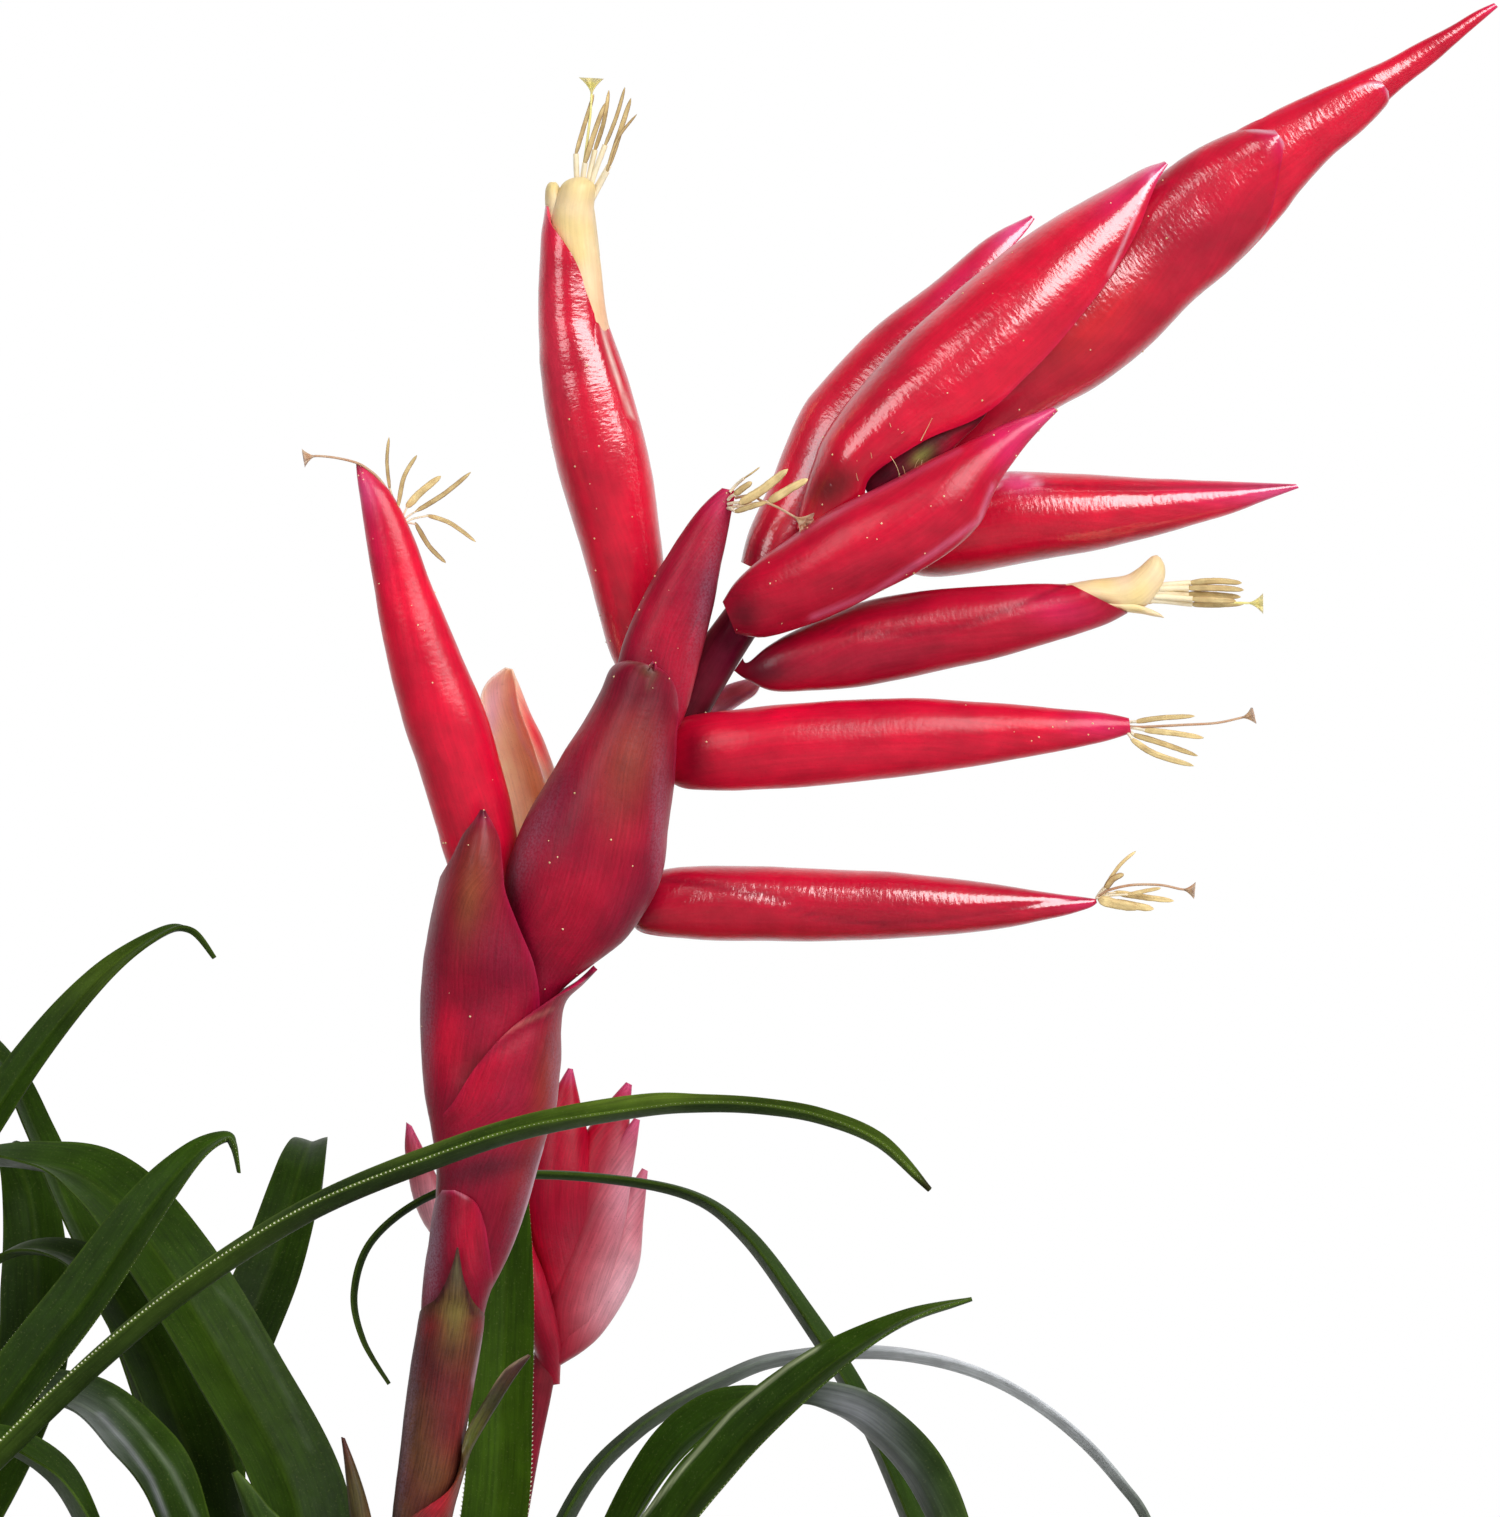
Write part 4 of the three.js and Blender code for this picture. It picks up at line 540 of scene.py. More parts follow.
# Bracts: left and right outline points, how near the centre of the section is, its half depth (negative
# for a bract that opens towards the viewer), and the angles where the shell starts and ends: 0 is the
# right outline, 90 the side nearest the viewer, 180 the left outline.
BRACTS = {
    "stalk_bract_low_left": [
        [340, 1790, 410, 1796, 0, 3.5, -84, 264], [350, 1735, 420, 1741, 0, 3.5, -84, 264],
        [357, 1690, 427, 1696, 0.2, 3.5, -40, 240], [358, 1655, 420, 1662, 1.2, 3.2, 10, 205],
        [357, 1618, 400, 1625, 2.4, 2.2, 50, 180],
        [354, 1572, 380, 1577, 3.6, 1.5, 20, 170], [349, 1515, 372, 1519, 4.4, 1.1, 10, 170],
        [345, 1470, 359, 1474, 4.4, 0.8, 10, 170], [341, 1437, 345, 1438, 4.4, 0.4, 10, 170],
    ],
    "stalk_bract_low_right": [
        [368, 1620, 434, 1626, 0, 3.3, -82, 262], [374, 1580, 441, 1586, 0, 3.4, -78, 240],
        [381, 1545, 447, 1551, 0.1, 3.7, -74, 170], [387, 1512, 453, 1516, 0.2, 3.8, -70, 98],
        [400, 1484, 460, 1488, 0.3, 3.9, -60, 42], [440, 1462, 466, 1466, 0.9, 2.6, -50, 40],
        [455, 1446, 472, 1450, 1.2, 1.6, -50, 100], [463, 1426, 481, 1434, 1.3, 1.1, -44, 120],
        [482, 1398, 496, 1408, 1.3, 0.9, -40, 130], [504, 1369, 514, 1379, 1.2, 0.6, -30, 150],
        [528, 1354, 531, 1356, 1.2, 0.3, 0, 160],
    ],
    "stalk_bract_sheath": [
        [391, 1524, 440, 1528, 0, 2.4, -84, 264], [393, 1506, 443, 1510, 0, 2.5, -84, 264],
        [399, 1458, 460, 1464, 0, 3.1, -84, 264], [409, 1375, 475, 1381, 0, 3.3, -84, 264],
        [416, 1330, 483, 1336, 0.15, 3.7, -84, 264], [419, 1314, 485, 1319, 0.3, 3.85, -20, 200],
        [420, 1310, 485, 1314, 0.35, 3.9, 12, 168], [421, 1305, 485, 1309, 0.45, 3.95, 34, 146],
        [423, 1299, 485, 1303, 0.6, 4.1, 50, 128], [426, 1290, 483, 1293, 0.9, 4.2, 60, 118],
        [431, 1275, 480, 1279, 1.2, 4.1, 71, 108], [436, 1260, 478, 1263, 1.4, 4.0, 80, 100],
        [440, 1247, 475, 1248, 1.5, 3.9, 87, 93],
    ],
    "stalk_bract_left": [
        [420, 1326, 484, 1332, 0, 2.9, -84, 264], [421, 1308, 485, 1314, 0, 3.2, -24, 246],
        [423, 1288, 491, 1292, 0, 3.7, 4, 246], [425, 1266, 502, 1270, 0, 4.3, 42, 245],
        [428, 1245, 511, 1248, 0, 4.5, 62, 244], [431, 1222, 522, 1224, 0, 4.6, 80, 240],
        [434, 1204, 530, 1206, 0, 4.7, 96, 232], [436, 1196, 532, 1197, 0, 4.7, 110, 222],
        [437, 1190, 533, 1191, 0, 4.7, 130, 208],
    ],
    "stalk_bract_right": [
        [424, 1318, 484, 1322, 0, 2.4, -84, 264], [428, 1292, 488, 1298, 0, 2.8, -84, 250],
        [430, 1264, 503, 1268, 0, 3.2, -84, 244], [432, 1240, 514, 1243, 0, 3.6, -84, 240],
        [435, 1205, 528, 1206, 0, 4.1, -84, 236], [436, 1172, 538, 1168, 0, 4.5, -80, 226],
        [434, 1142, 548, 1134, 0, 4.9, -78, 200], [432, 1124, 554, 1116, 0, 5.2, -76, 166],
        [430, 1106, 558, 1100, 0, 5.4, -74, 132],
        [424, 1066, 561, 1060, 0, 5.6, -70, 102], [424, 1034, 561, 1028, 0, 5.6, -64, 76],
        [424, 1011, 567, 1001, 0, 5.5, -50, 44], [462, 988, 584, 984, 0, 4.6, -24, 22],
        [490, 974, 598, 970, 0, 4.4, -5, 5],
    ],
    "floral_bract_1": [
        [438, 1176, 537, 1172, 0, 4.3, 150, 244], [434, 1150, 545, 1144, 0, 4.6, 132, 244],
        [429, 1122, 550, 1116, 0, 4.7, 100, 244], [424, 1094, 550, 1089, 0, 4.7, 64, 244],
        [421, 1058, 548, 1052, 0, 4.5, 46, 244], [420, 1010, 550, 1008, 0.2, 4.9, 32, 244],
        [423, 962, 548, 968, 0.8, 5.6, 37, 236], [429, 925, 533, 929, 1.4, 5.9, 42, 226],
        [436, 892, 521, 892, 2.0, 5.9, 50, 200], [444, 863, 513, 864, 2.4, 5.5, 46, 150],
        [455, 836, 507, 840, 2.7, 4.8, 44, 138], [468, 820, 498, 824, 2.8, 4.1, 50, 130],
        [478, 809, 488, 811, 2.9, 3.5, 60, 120],
    ],
    "floral_bract_2": [
        [524, 1022, 548, 1020, -0.6, 1.2, -20, 200], [518, 1000, 554, 1001, 0.2, 1.6, -20, 200],
        [510, 965, 573, 980, 0.6, 2.4, -20, 200], [504, 915, 621, 943, 1.4, 4.3, -18, 186],
        [505, 875, 650, 903, 2.3, 5.2, -14, 182], [518, 834, 664, 866, 2.2, 5.8, -12, 186],
        [540, 792, 669, 824, 2.3, 5.7, -6, 190], [562, 755, 675, 780, 2.4, 5.4, 8, 196],
        [583, 722, 679, 742, 2.4, 5.1, 16, 200], [600, 692, 681, 706, 2.4, 4.8, 20, 196],
        [610, 669, 678, 683, 2.4, 4.6, 30, 180], [624, 660, 668, 671, 2.4, 4.5, 44, 150],
        [640, 662, 660, 669, 2.4, 4.4, 66, 120],
    ],
    "floral_bract_3": [
        [526, 862, 566, 873, -4.4, -1.6, -10, 180], [508, 820, 568, 832, -3.8, -3.0, -50, 188],
        [494, 775, 560, 786, -3.6, -3.4, -56, 190], [484, 735, 546, 745, -3.5, -3.3, -56, 190],
        [480, 702, 530, 712, -3.5, -2.8, -52, 188], [487, 681, 521, 689, -3.5, -2.0, -44, 184],
        [505, 667, 513, 669, -3.5, -0.8, -20, 180],
    ],
    "floral_bract_4": [
        [723, 602, 736, 634, 3.0, 1.6, -40, 220], [736, 581, 765, 637, 3.4, 2.6, -60, 200],
        [759, 560, 811, 624, 4.2, 3.6, -66, 188], [790, 538, 849, 608, 5.0, 4.2, -70, 184],
        [823, 515, 884, 590, 5.8, 4.4, -70, 182], [859, 496, 921, 571, 6.4, 4.4, -68, 182],
        [899, 476, 956, 547, 6.8, 4.2, -64, 182], [927, 461, 981, 523, 7.0, 3.8, -60, 182],
        [957, 447, 993, 495, 7.0, 3.0, -56, 182], [987, 433, 1007, 471, 7.0, 2.2, -46, 182],
        [1013, 421, 1027, 444, 7.0, 1.5, -36, 182], [1036, 413, 1044, 425, 7.0, 0.9, -20, 180],
        [1053, 407, 1058, 411, 7.0, 0.4, 0, 180],
    ],
    "floral_bract_small": [
        [690, 722, 706, 729, -5.7, -0.8, -20, 190], [698, 722, 711, 726, -6.2, -1.0, -20, 190],
        [702, 704, 724, 716, -6.6, -1.7, -30, 200],
        [716, 690, 742, 704, -6.8, -1.9, -30, 200], [734, 682, 756, 694, -6.8, -1.3, -20, 190],
        [756, 677, 762, 681, -6.8, -0.4, 0, 180],
    ],
    "tip_bract_left": [
        [741, 562, 800, 590, -2.2, 3.3, 60, 240], [749, 530, 806, 560, -2.4, 3.6, 45, 238],
        [769, 486, 842, 522, -3.0, 4.0, 46, 236], [797, 418, 890, 478, -3.4, 4.4, 50, 232],
        [823, 381, 920, 447, -3.8, 4.4, 60, 230], [871, 331, 955, 396, -4.0, 4.2, 74, 226],
        [929, 286, 992, 336, -4.0, 3.4, 84, 220], [987, 238, 1018, 270, -4.0, 2.0, 84, 210],
        [1031, 215, 1036, 220, -4.0, 0.5, 60, 180],
    ],
    "tip_bract_front": [
        [797, 528, 838, 558, 1.8, 2.0, 10, 170], [803, 496, 860, 540, 1.8, 3.0, 30, 170],
        [813, 462, 876, 518, 1.6, 4.2, 48, 170], [826, 430, 884, 490, 1.4, 5.4, 56, 168],
        [865, 380, 942, 459, 1.2, 6.2, 57, 168], [905, 335, 999, 432, 1.0, 6.6, 49, 168],
        [950, 295, 1044, 392, 0.8, 6.6, 49, 170], [1000, 255, 1087, 345, 0.6, 6.2, 51, 172],
        [1050, 220, 1123, 295, 0.4, 5.4, 53, 176], [1100, 192, 1150, 244, 0.2, 4.4, 60, 176],
        [1140, 170, 1163, 193, 0.2, 3.2, 70, 170], [1163, 160, 1171, 167, 0.2, 2.4, 76, 130],
    ],
    "tip_bract_right": [
        [872, 462, 906, 506, -1.2, 2.2, -70, 100], [890, 428, 944, 490, -1.2, 3.2, -72, 112],
        [922, 374, 996, 452, -1.0, 4.2, -72, 120], [967, 316, 1051, 412, -0.8, 4.6, -72, 128],
        [1013, 272, 1104, 382, -0.8, 4.6, -70, 138], [1062, 238, 1150, 345, -0.8, 4.4, -58, 148],
        [1110, 212, 1190, 304, -0.8, 4.0, -46, 162], [1152, 180, 1226, 274, -0.6, 3.8, -26, 178],
        [1190, 152, 1259, 240, -0.3, 3.6, 8, 190], [1225, 135, 1284, 209, 0, 3.4, 46, 180],
        [1250, 126, 1288, 172, 0.2, 3.3, 50, 150], [1272, 126, 1287, 146, 0.4, 2.9, 50, 130],
    ],
    "tip_bract_upper": [
        [1150, 190, 1214, 284, -0.6, 2.6, -60, 200], [1186, 162, 1249, 252, -0.5, 2.6, -60, 200],
        [1222, 140, 1284, 213, -0.4, 2.6, -60, 190], [1250, 122, 1302, 189, -0.3, 2.6, -60, 166],
        [1289, 104, 1331, 158, -0.1, 2.3, -56, 152], [1333, 84, 1363, 130, 0.2, 1.9, -36, 142],
        [1360, 76, 1387, 105, 0.4, 1.6, -4, 134], [1379, 79, 1390, 93, 0.7, 1.2, 40, 130],
    ],
}
SHEATHS = ("stalk_bract_low_left", "stalk_bract_low_right", "stalk_bract_sheath")

# Flower tubes and other solid pieces, from the foot to the mouth: left and right outline points, how
# near the axis is, and for some the half depth
CALYXES = {
    "flower_1_calyx": [
        [474, 958, 492, 960, 0.6], [462, 915, 500, 915, 0.2], [452, 880, 510, 880, -0.2],
        [442, 848, 517, 850, -0.6], [437, 828, 516, 828, -0.6], [420, 775, 503, 772, 0.4],
        [403, 722, 486, 714, 1.4], [386, 655, 455, 640, 2.0], [376, 600, 432, 586, 2.4],
        [366, 540, 412, 532, 2.8], [360, 500, 393, 496, 3], [357, 478, 375, 476, 3], [356, 464, 360, 464, 3],
    ],
    "flower_2_calyx": [
        [611, 881, 603, 894, -4.5], [634, 892, 626, 912, -5.6], [656, 872, 641, 932, -5.4],
        [700, 866, 690, 939, -5], [752, 866, 745, 941, -4.4], [850, 870, 845, 941, -3.6],
        [905, 873, 905, 938, -3], [980, 882, 985, 931, -2.4], [1046, 892, 1050, 919, -2],
        [1084, 897, 1087, 909, -2], [1096, 899, 1097, 903, -2],
    ],
    "flower_3_calyx": [
        [566, 908, 592, 916, 2.2, 1.0], [570, 872, 610, 882, 2.4, 1.7], [578, 830, 632, 842, 2.4, 2.4],
        [590, 780, 653, 794, 2.0, 2.7], [599, 730, 670, 746, 1.5, 2.7], [611, 690, 688, 706, 1.2, 2.7],
        [624, 640, 702, 652, 1.2, 3.0], [645, 592, 714, 604, 1.4, 2.9], [670, 551, 722, 560, 1.8, 2.2],
        [698, 510, 731, 515, 2.2, 1.4], [722, 488, 736, 491, 2.6, 0.6],
    ],
    "flower_4_calyx": [
        [662, 730, 662, 776, -2.8, 1.8], [680, 718, 680, 787, -2.0, 2.6], [702, 714, 704, 790, -1.0, 3.0],
        [740, 709, 745, 790, 0, 3.4], [800, 703, 805, 787, 0.4, 3.6],
        [900, 698, 905, 776, 0.4, 3.5], [985, 702, 990, 764, 0.6, 2.8], [1050, 708, 1056, 752, 1, 2.0],
        [1102, 713, 1106, 741, 1.2, 1.3], [1129, 718, 1131, 733, 1.2, 0.7],
    ],
    "flower_5_calyx": [
        [669, 766, 685, 756, -6.6, 0.9], [660, 748, 676, 736, -9, 0.9], [634, 700, 674, 684, -9, 1.9],
        [609, 650, 668, 632, -8.6, 2.8], [590, 580, 664, 566, -8, 3.4], [572, 520, 657, 505, -7.6, 3.9],
        [557, 470, 648, 452, -7, 4.1], [545, 410, 632, 392, -6.6, 3.9], [541, 370, 622, 362, -6.5, 3.6],
        [540, 345, 613, 336, -6.4, 3.2], [541, 325, 606, 316, -6.3, 2.6],
    ],
    "flower_6_calyx": [
        [743, 658, 734, 671, -0.5], [748, 662, 747, 680, 0.6], [770, 645, 774, 691, 0.6],
        [812, 622, 820, 690, 0], [862, 602, 870, 685, -0.4], [913, 592, 928, 673, -0.4],
        [970, 587, 988, 660, 0], [1026, 584, 1050, 643, 0.4], [1062, 584, 1104, 625, 0.8],
        [1070, 584, 1128, 613, 0.8],
    ],
    "flower_7_calyx": [
        [833, 515, 826, 524, -5], [838, 520, 840, 534, -7], [862, 512, 862, 548, -7],
        [910, 493, 917, 575, -6.4], [958, 480, 966, 574, -5.8], [1010, 472, 1024, 563, -5],
        [1080, 474, 1092, 551, -4.2], [1150, 478, 1158, 535, -3.6], [1220, 481, 1226, 515, -3],
        [1268, 483, 1272, 498, -2.6], [1296, 484, 1299, 488, -2.6],
    ],
}
TIP_END = [
    [1205, 162, 1246, 236, -0.6, 1.7], [1260, 120, 1298, 176, -0.5, 1.8], [1310, 94, 1341, 138, -0.4, 1.6],
    [1345, 79, 1371, 115, -0.3, 1.4], [1364, 70, 1388, 101, -0.2, 1.3], [1386, 60, 1406, 85, -0.2, 1.1],
    [1412, 46, 1430, 66, -0.2, 0.9], [1445, 29, 1458, 42, 0, 0.7], [1474, 12, 1482, 21, 0, 0.5],
    [1494, 3, 1498, 7, 0, 0.3],
]
BUD = [
    [858, 478, 872, 500, 3.2, 0.6], [880, 460, 900, 488, 4.1, 0.7], [906, 438, 936, 466, 4.7, 0.7],
    [936, 414, 962, 440, 4.7, 0.6], [962, 400, 982, 420, 4.7, 0.5], [990, 386, 998, 394, 4.7, 0.3],
]

# The one flower that is still closed has no mouth.
CLOSED_FLOWER = "flower_7_calyx"

# Sepals and petals have rows as bracts have.
SEPALS = {
    "flower_5_calyx": [
        [545, 404, 629, 392, -6.6, 3.7, -40, 230], [540, 368, 619, 360, -6.5, 3.6, -24, 230],
        [539, 345, 611, 340, -6.4, 3.4, 0, 230], [538, 318, 604, 322, -6.3, 3.1, 34, 230],
        [538, 291, 601, 297, -6.2, 2.9, 55, 230], [539, 270, 598, 276, -6.2, 2.8, 65, 230],
        [540, 252, 597, 258, -6.1, 2.7, 82, 226], [541, 235, 596, 240, -6.1, 2.6, 108, 222],
        [543, 220, 595, 225, -6.1, 2.5, 140, 212], [545, 206, 594, 210, -6.1, 2.4, 160, 200],
    ],
}
PETALS = {
    "flower_5_petals": [
        [[556, 330, 612, 338, -6.2, 2.2, -30, 200], [553, 300, 606, 309, -6.1, 2.2, -30, 200],
         [551, 258, 601, 266, -6.0, 1.9, -20, 195], [550, 226, 596, 232, -5.9, 2.0, -10, 190],
         [552, 208, 594, 212, -5.8, 2.1, -6, 184], [557, 194, 595, 196, -5.7, 2.1, -4, 180],
         [562, 184, 595, 185, -5.6, 1.8, 0, 180], [569, 179, 590, 180, -5.6, 1.3, 0, 180],
         [576, 177, 584, 177, -5.6, 0.6, 0, 180]],
        [[551, 260, 578, 266, -6.4, 1.6, 60, 250], [547, 225, 572, 230, -6.4, 1.5, 50, 240],
         [545, 205, 566, 208, -6.4, 1.5, 30, 230], [545, 192, 562, 194, -6.4, 1.3, 10, 200],
         [547, 185, 559, 186, -6.4, 0.9, 0, 180], [550, 182, 556, 182, -6.4, 0.4, 0, 180]],
        [[556, 250, 600, 256, -6.6, -1.7, -30, 200], [553, 215, 596, 219, -6.8, -1.8, -20, 200],
         [556, 195, 592, 197, -6.8, -1.6, 0, 180], [562, 186, 586, 187, -6.8, -1.1, 0, 180],
         [570, 182, 578, 182, -6.8, -0.5, 0, 180]],
    ],
    "flower_6_petals": [
        [[1048, 588, 1070, 612, 0.6, 1.9, -60, 240], [1066, 584, 1092, 604, 0.8, 1.9, -60, 240],
         [1090, 580, 1114, 609, 0.8, 1.9, -50, 230], [1108, 578, 1132, 611, 0.8, 1.8, -30, 200],
         [1126, 575, 1146, 606, 0.9, 1.7, -10, 190], [1138, 568, 1156, 594, 1.1, 1.4, 0, 184],
         [1147, 560, 1164, 580, 1.2, 1.1, 0, 180], [1152, 556, 1165, 567, 1.2, 0.8, 0, 180],
         [1157, 555, 1161, 558, 1.2, 0.3, 0, 180]],
        [[1084, 598, 1100, 607, 0.8, 1.5, -70, 120], [1112, 600, 1126, 612, 0.9, 1.5, -70, 110],
         [1134, 600, 1142, 614, 0.9, 1.3, -60, 110], [1148, 606, 1152, 616, 0.9, 0.8, -40, 120],
         [1162, 615, 1164, 618, 0.9, 0.3, 0, 160]],
        [[1090, 582, 1110, 600, 0.2, -1.5, -20, 200], [1124, 578, 1134, 604, 0.0, -1.6, -20, 200],
         [1146, 582, 1150, 604, -0.2, -1.3, 0, 180], [1156, 590, 1157, 600, -0.3, -0.6, 0, 180]],
    ],
}

# What stands out of the open flowers. A stamen is where its filament starts, three points of its anther,
# the anther's width in pixels and how brown it is, from 0 to 1. The style ends in a ragged stigma, whose
# size is in millimetres. `reach` is the radius of the filaments.
STAMENS = {
    "flower_1": {
        "near": 3, "lean": 0.6, "reach": 0.10,
        "stamens": [
            [(397, 510), [(390, 491), (387, 462), (389, 437)], 4, 0.8],
            [(399, 516), [(398, 508), (404, 477), (417, 455)], 5, 0.5],
            [(402, 522), [(406, 508), (421, 492), (441, 476)], 8, 0.1],
            [(402, 522), [(415, 512), (444, 494), (471, 472)], 5.5, 0.7],
            [(402, 524), [(426, 515), (450, 523), (476, 542)], 5, 0.5],
            [(402, 526), [(415, 522), (429, 546), (446, 563)], 5.5, 0.9],
        ],
        "style": [(394, 500), (380, 480), (369, 470), (357, 463), (337, 458), (318, 456), (309, 457)],
        "stigma_size": 0.75, "yellow": False,
    },
    "flower_2": {
        "near": -2, "lean": 0.6, "reach": 0.12,
        "stamens": [
            [(1096, 898), [(1104, 888), (1120, 865), (1136, 851)], 4, 0.4],
            [(1096, 898), [(1105, 889), (1113, 879), (1124, 874)], 7, 0.9],
            [(1096, 898), [(1113, 892), (1143, 897), (1174, 901)], 7, 0.1],
            [(1096, 899), [(1098, 899), (1116, 904), (1140, 908)], 11, 0.0],
            [(1098, 900), [(1112, 902), (1130, 905), (1154, 909)], 9, 0.2],
            [(1096, 898), [(1126, 895), (1145, 891), (1161, 888)], 4.5, 0.3],
        ],
        "style": [(1098, 896), (1109, 890), (1132, 885), (1160, 885), (1180, 889), (1189, 890)],
        "stigma_size": 0.75, "yellow": False,
    },
    "flower_3": {
        "near": 3.4, "lean": 2.4, "reach": 0.16,
        "stamens": [
            [(728, 500), [(734, 495), (743, 488), (752, 482)], 7, 0.6],
            [(728, 504), [(739, 504), (762, 490), (788, 469)], 10, 0.1],
            [(728, 508), [(767, 503), (788, 490), (808, 479)], 9, 0.0],
            [(728, 508), [(734, 512), (750, 507), (767, 502)], 6, 0.5],
            [(730, 492), [(743, 479), (752, 473), (760, 467)], 2, 0.5],
        ],
        "style": [(735, 498), (753, 495), (760, 500), (777, 507), (793, 516), (801, 521)],
        "stigma_size": 1.05, "yellow": False,
    },
    "flower_4": {
        "near": 1.2, "lean": 0.6, "reach": 0.16,
        "stamens": [
            [(1126, 724), [(1134, 722), (1161, 718), (1195, 716)], 6, 0.4],
            [(1126, 728), [(1142, 730), (1172, 733), (1204, 738)], 6.5, 0.1],
            [(1126, 729), [(1131, 734), (1161, 743), (1198, 756)], 6.5, 0.4],
            [(1126, 730), [(1130, 738), (1155, 754), (1194, 766)], 7, 0.1],
        ],
        "style": [(1128, 726), (1140, 727), (1181, 725), (1216, 723), (1240, 718), (1248, 716)],
        "stigma_size": 0.8, "yellow": False,
    },
    "flower_5": {
        "near": -6, "lean": 0.6, "reach": 0.28,
        "stamens": [
            [(578, 190), [(575, 157), (585, 123), (594, 94)], 5, 0.8],
            [(582, 190), [(584, 166), (594, 134), (605, 103)], 6, 0.7],
            [(587, 190), [(594, 153), (604, 121), (609, 90)], 5, 0.7],
            [(589, 190), [(604, 148), (616, 118), (625, 87)], 4.5, 0.8],
            [(592, 195), [(608, 169), (620, 132), (631, 98)], 6, 0.6],
            [(592, 200), [(606, 175), (617, 140), (637, 114)], 3.5, 1.0],
        ],
        "style": [(580, 190), (586, 150), (590, 118), (591, 104), (592, 86)],
        "stigma_size": 1.05, "yellow": True,
    },
    "flower_6": {
        "near": 0.8, "lean": 0.4, "reach": 0.30,
        "stamens": [
            [(1140, 589), [(1188, 583), (1216, 581), (1242, 583)], 7, 0.3],
            [(1140, 591), [(1186, 588), (1216, 588), (1244, 590)], 7, 0.5],
            [(1140, 594), [(1186, 594), (1214, 595), (1241, 597)], 7, 0.3],
            [(1140, 597), [(1190, 599), (1216, 600), (1236, 601)], 7, 0.4],
            [(1140, 600), [(1190, 604), (1214, 605), (1244, 604)], 6, 0.6],
        ],
        "style": [(1150, 597), (1192, 598), (1226, 602), (1244, 603), (1256, 603)],
        "stigma_size": 0.95, "yellow": True,
    },
}

# The younger spike behind: its stalk as x, y, z and radius, and its fan of bracts as rows of a tube
YOUNG_STALK = [
    [21, 77, 7.1, 2.0], [18.6, 76.6, 40, 1.9], [17.6, 76, 75, 1.7], [18.4, 76, 96, 1.5], [20.2, 76, 108, 1.4],
    [22.2, 76, 118, 1.4], [24.0, 76, 128, 1.2], [25.2, 76, 138, 0.8],
]
YOUNG_BRACTS = [
    [[540, 1352, 556, 1360, -76, 1.4], [488, 1292, 540, 1336, -76, 2.6], [424, 1224, 486, 1272, -74, 2.6],
     [406, 1160, 440, 1182, -73, 1.6], [406, 1122, 412, 1126, -73, 0.5]],
    [[542, 1372, 560, 1366, -76, 1.4], [560, 1316, 600, 1336, -76, 2.4], [590, 1256, 636, 1276, -77, 2.4],
     [618, 1204, 644, 1216, -78, 1.5], [642, 1168, 648, 1171, -78, 0.5]],
    [[544, 1356, 562, 1350, -76, 1.6], [548, 1296, 596, 1318, -75, 2.4], [572, 1226, 620, 1246, -75, 2.4],
     [600, 1166, 632, 1178, -75, 1.5], [634, 1118, 640, 1120, -75, 0.5]],
    [[545, 1344, 564, 1340, -76, 1.8], [486, 1240, 548, 1276, -76, 3.0], [462, 1150, 520, 1180, -77, 2.6],
     [466, 1100, 492, 1112, -78, 1.4], [478, 1066, 484, 1068, -78, 0.5]],
    [[546, 1330, 568, 1326, -76, 1.8], [554, 1230, 612, 1256, -76, 2.8], [576, 1150, 632, 1176, -76, 2.4],
     [602, 1110, 630, 1124, -76, 1.4], [626, 1082, 632, 1085, -76, 0.5]],
    [[546, 1316, 570, 1314, -76, 2.0], [528, 1210, 592, 1216, -75, 3.0], [534, 1136, 590, 1146, -75, 2.4],
     [552, 1096, 580, 1102, -75, 1.2], [568, 1068, 573, 1069, -75, 0.5]],
    [[546, 1386, 560, 1384, -77, 1.2], [528, 1330, 560, 1340, -74, 2.0], [512, 1276, 548, 1286, -73, 2.0],
     [508, 1232, 530, 1238, -73, 1.2], [512, 1200, 517, 1201, -73, 0.4]],
]


# Builders
def normals_of(grid, away, closed=False):
    """Unit normals of a grid of points, on the side that `away` points to. A closed grid is of rings."""
    if closed:
        across = np.roll(grid, -1, axis=1) - np.roll(grid, 1, axis=1)
    else:
        across = np.gradient(grid, axis=1)
    normal = unit(np.cross(across, np.gradient(grid, axis=0)))
    return normal * (1 if (normal * away).sum() > 0 else -1)


def relief(name, points, normals, swell, crinkle):
    """Heights in millimetres: broad swells, fine crinkles, and the creases listed for the piece."""
    height = swell * mottle(points, SWELL_SIZE, 1.7) + crinkle * mottle(points, RIPPLE_SIZE, 5.2)
    px, py = pixels(points)
    for line, width, depth in CREASES.get(name, []):
        distance, along = line_distance(px, py, line)
        front = ease(-normals[..., 1], 0.0, 0.3)
        fade = np.sin(np.pi * np.clip(along, 0.03, 0.97)) ** 0.4
        height += depth * front * fade * np.exp(-((distance / width) ** 2))
    return height


def ellipses(lx, ly, rx, ry, near, depth, angle):
    """Points at angles round the ellipses between two outlines, and the centres of the ellipses."""
    x = (lx + rx) / 2
    y = (ly + ry) / 2
    side = np.cos(angle) / 2
    points = place(x + (rx - lx) * side, y + (ry - ly) * side, near + depth * np.sin(angle))
    return points, place(x, y, near)


def half_width(lx, ly, rx, ry):
    return np.hypot(rx - lx, ry - ly) / 2 / PIXELS_PER_MM


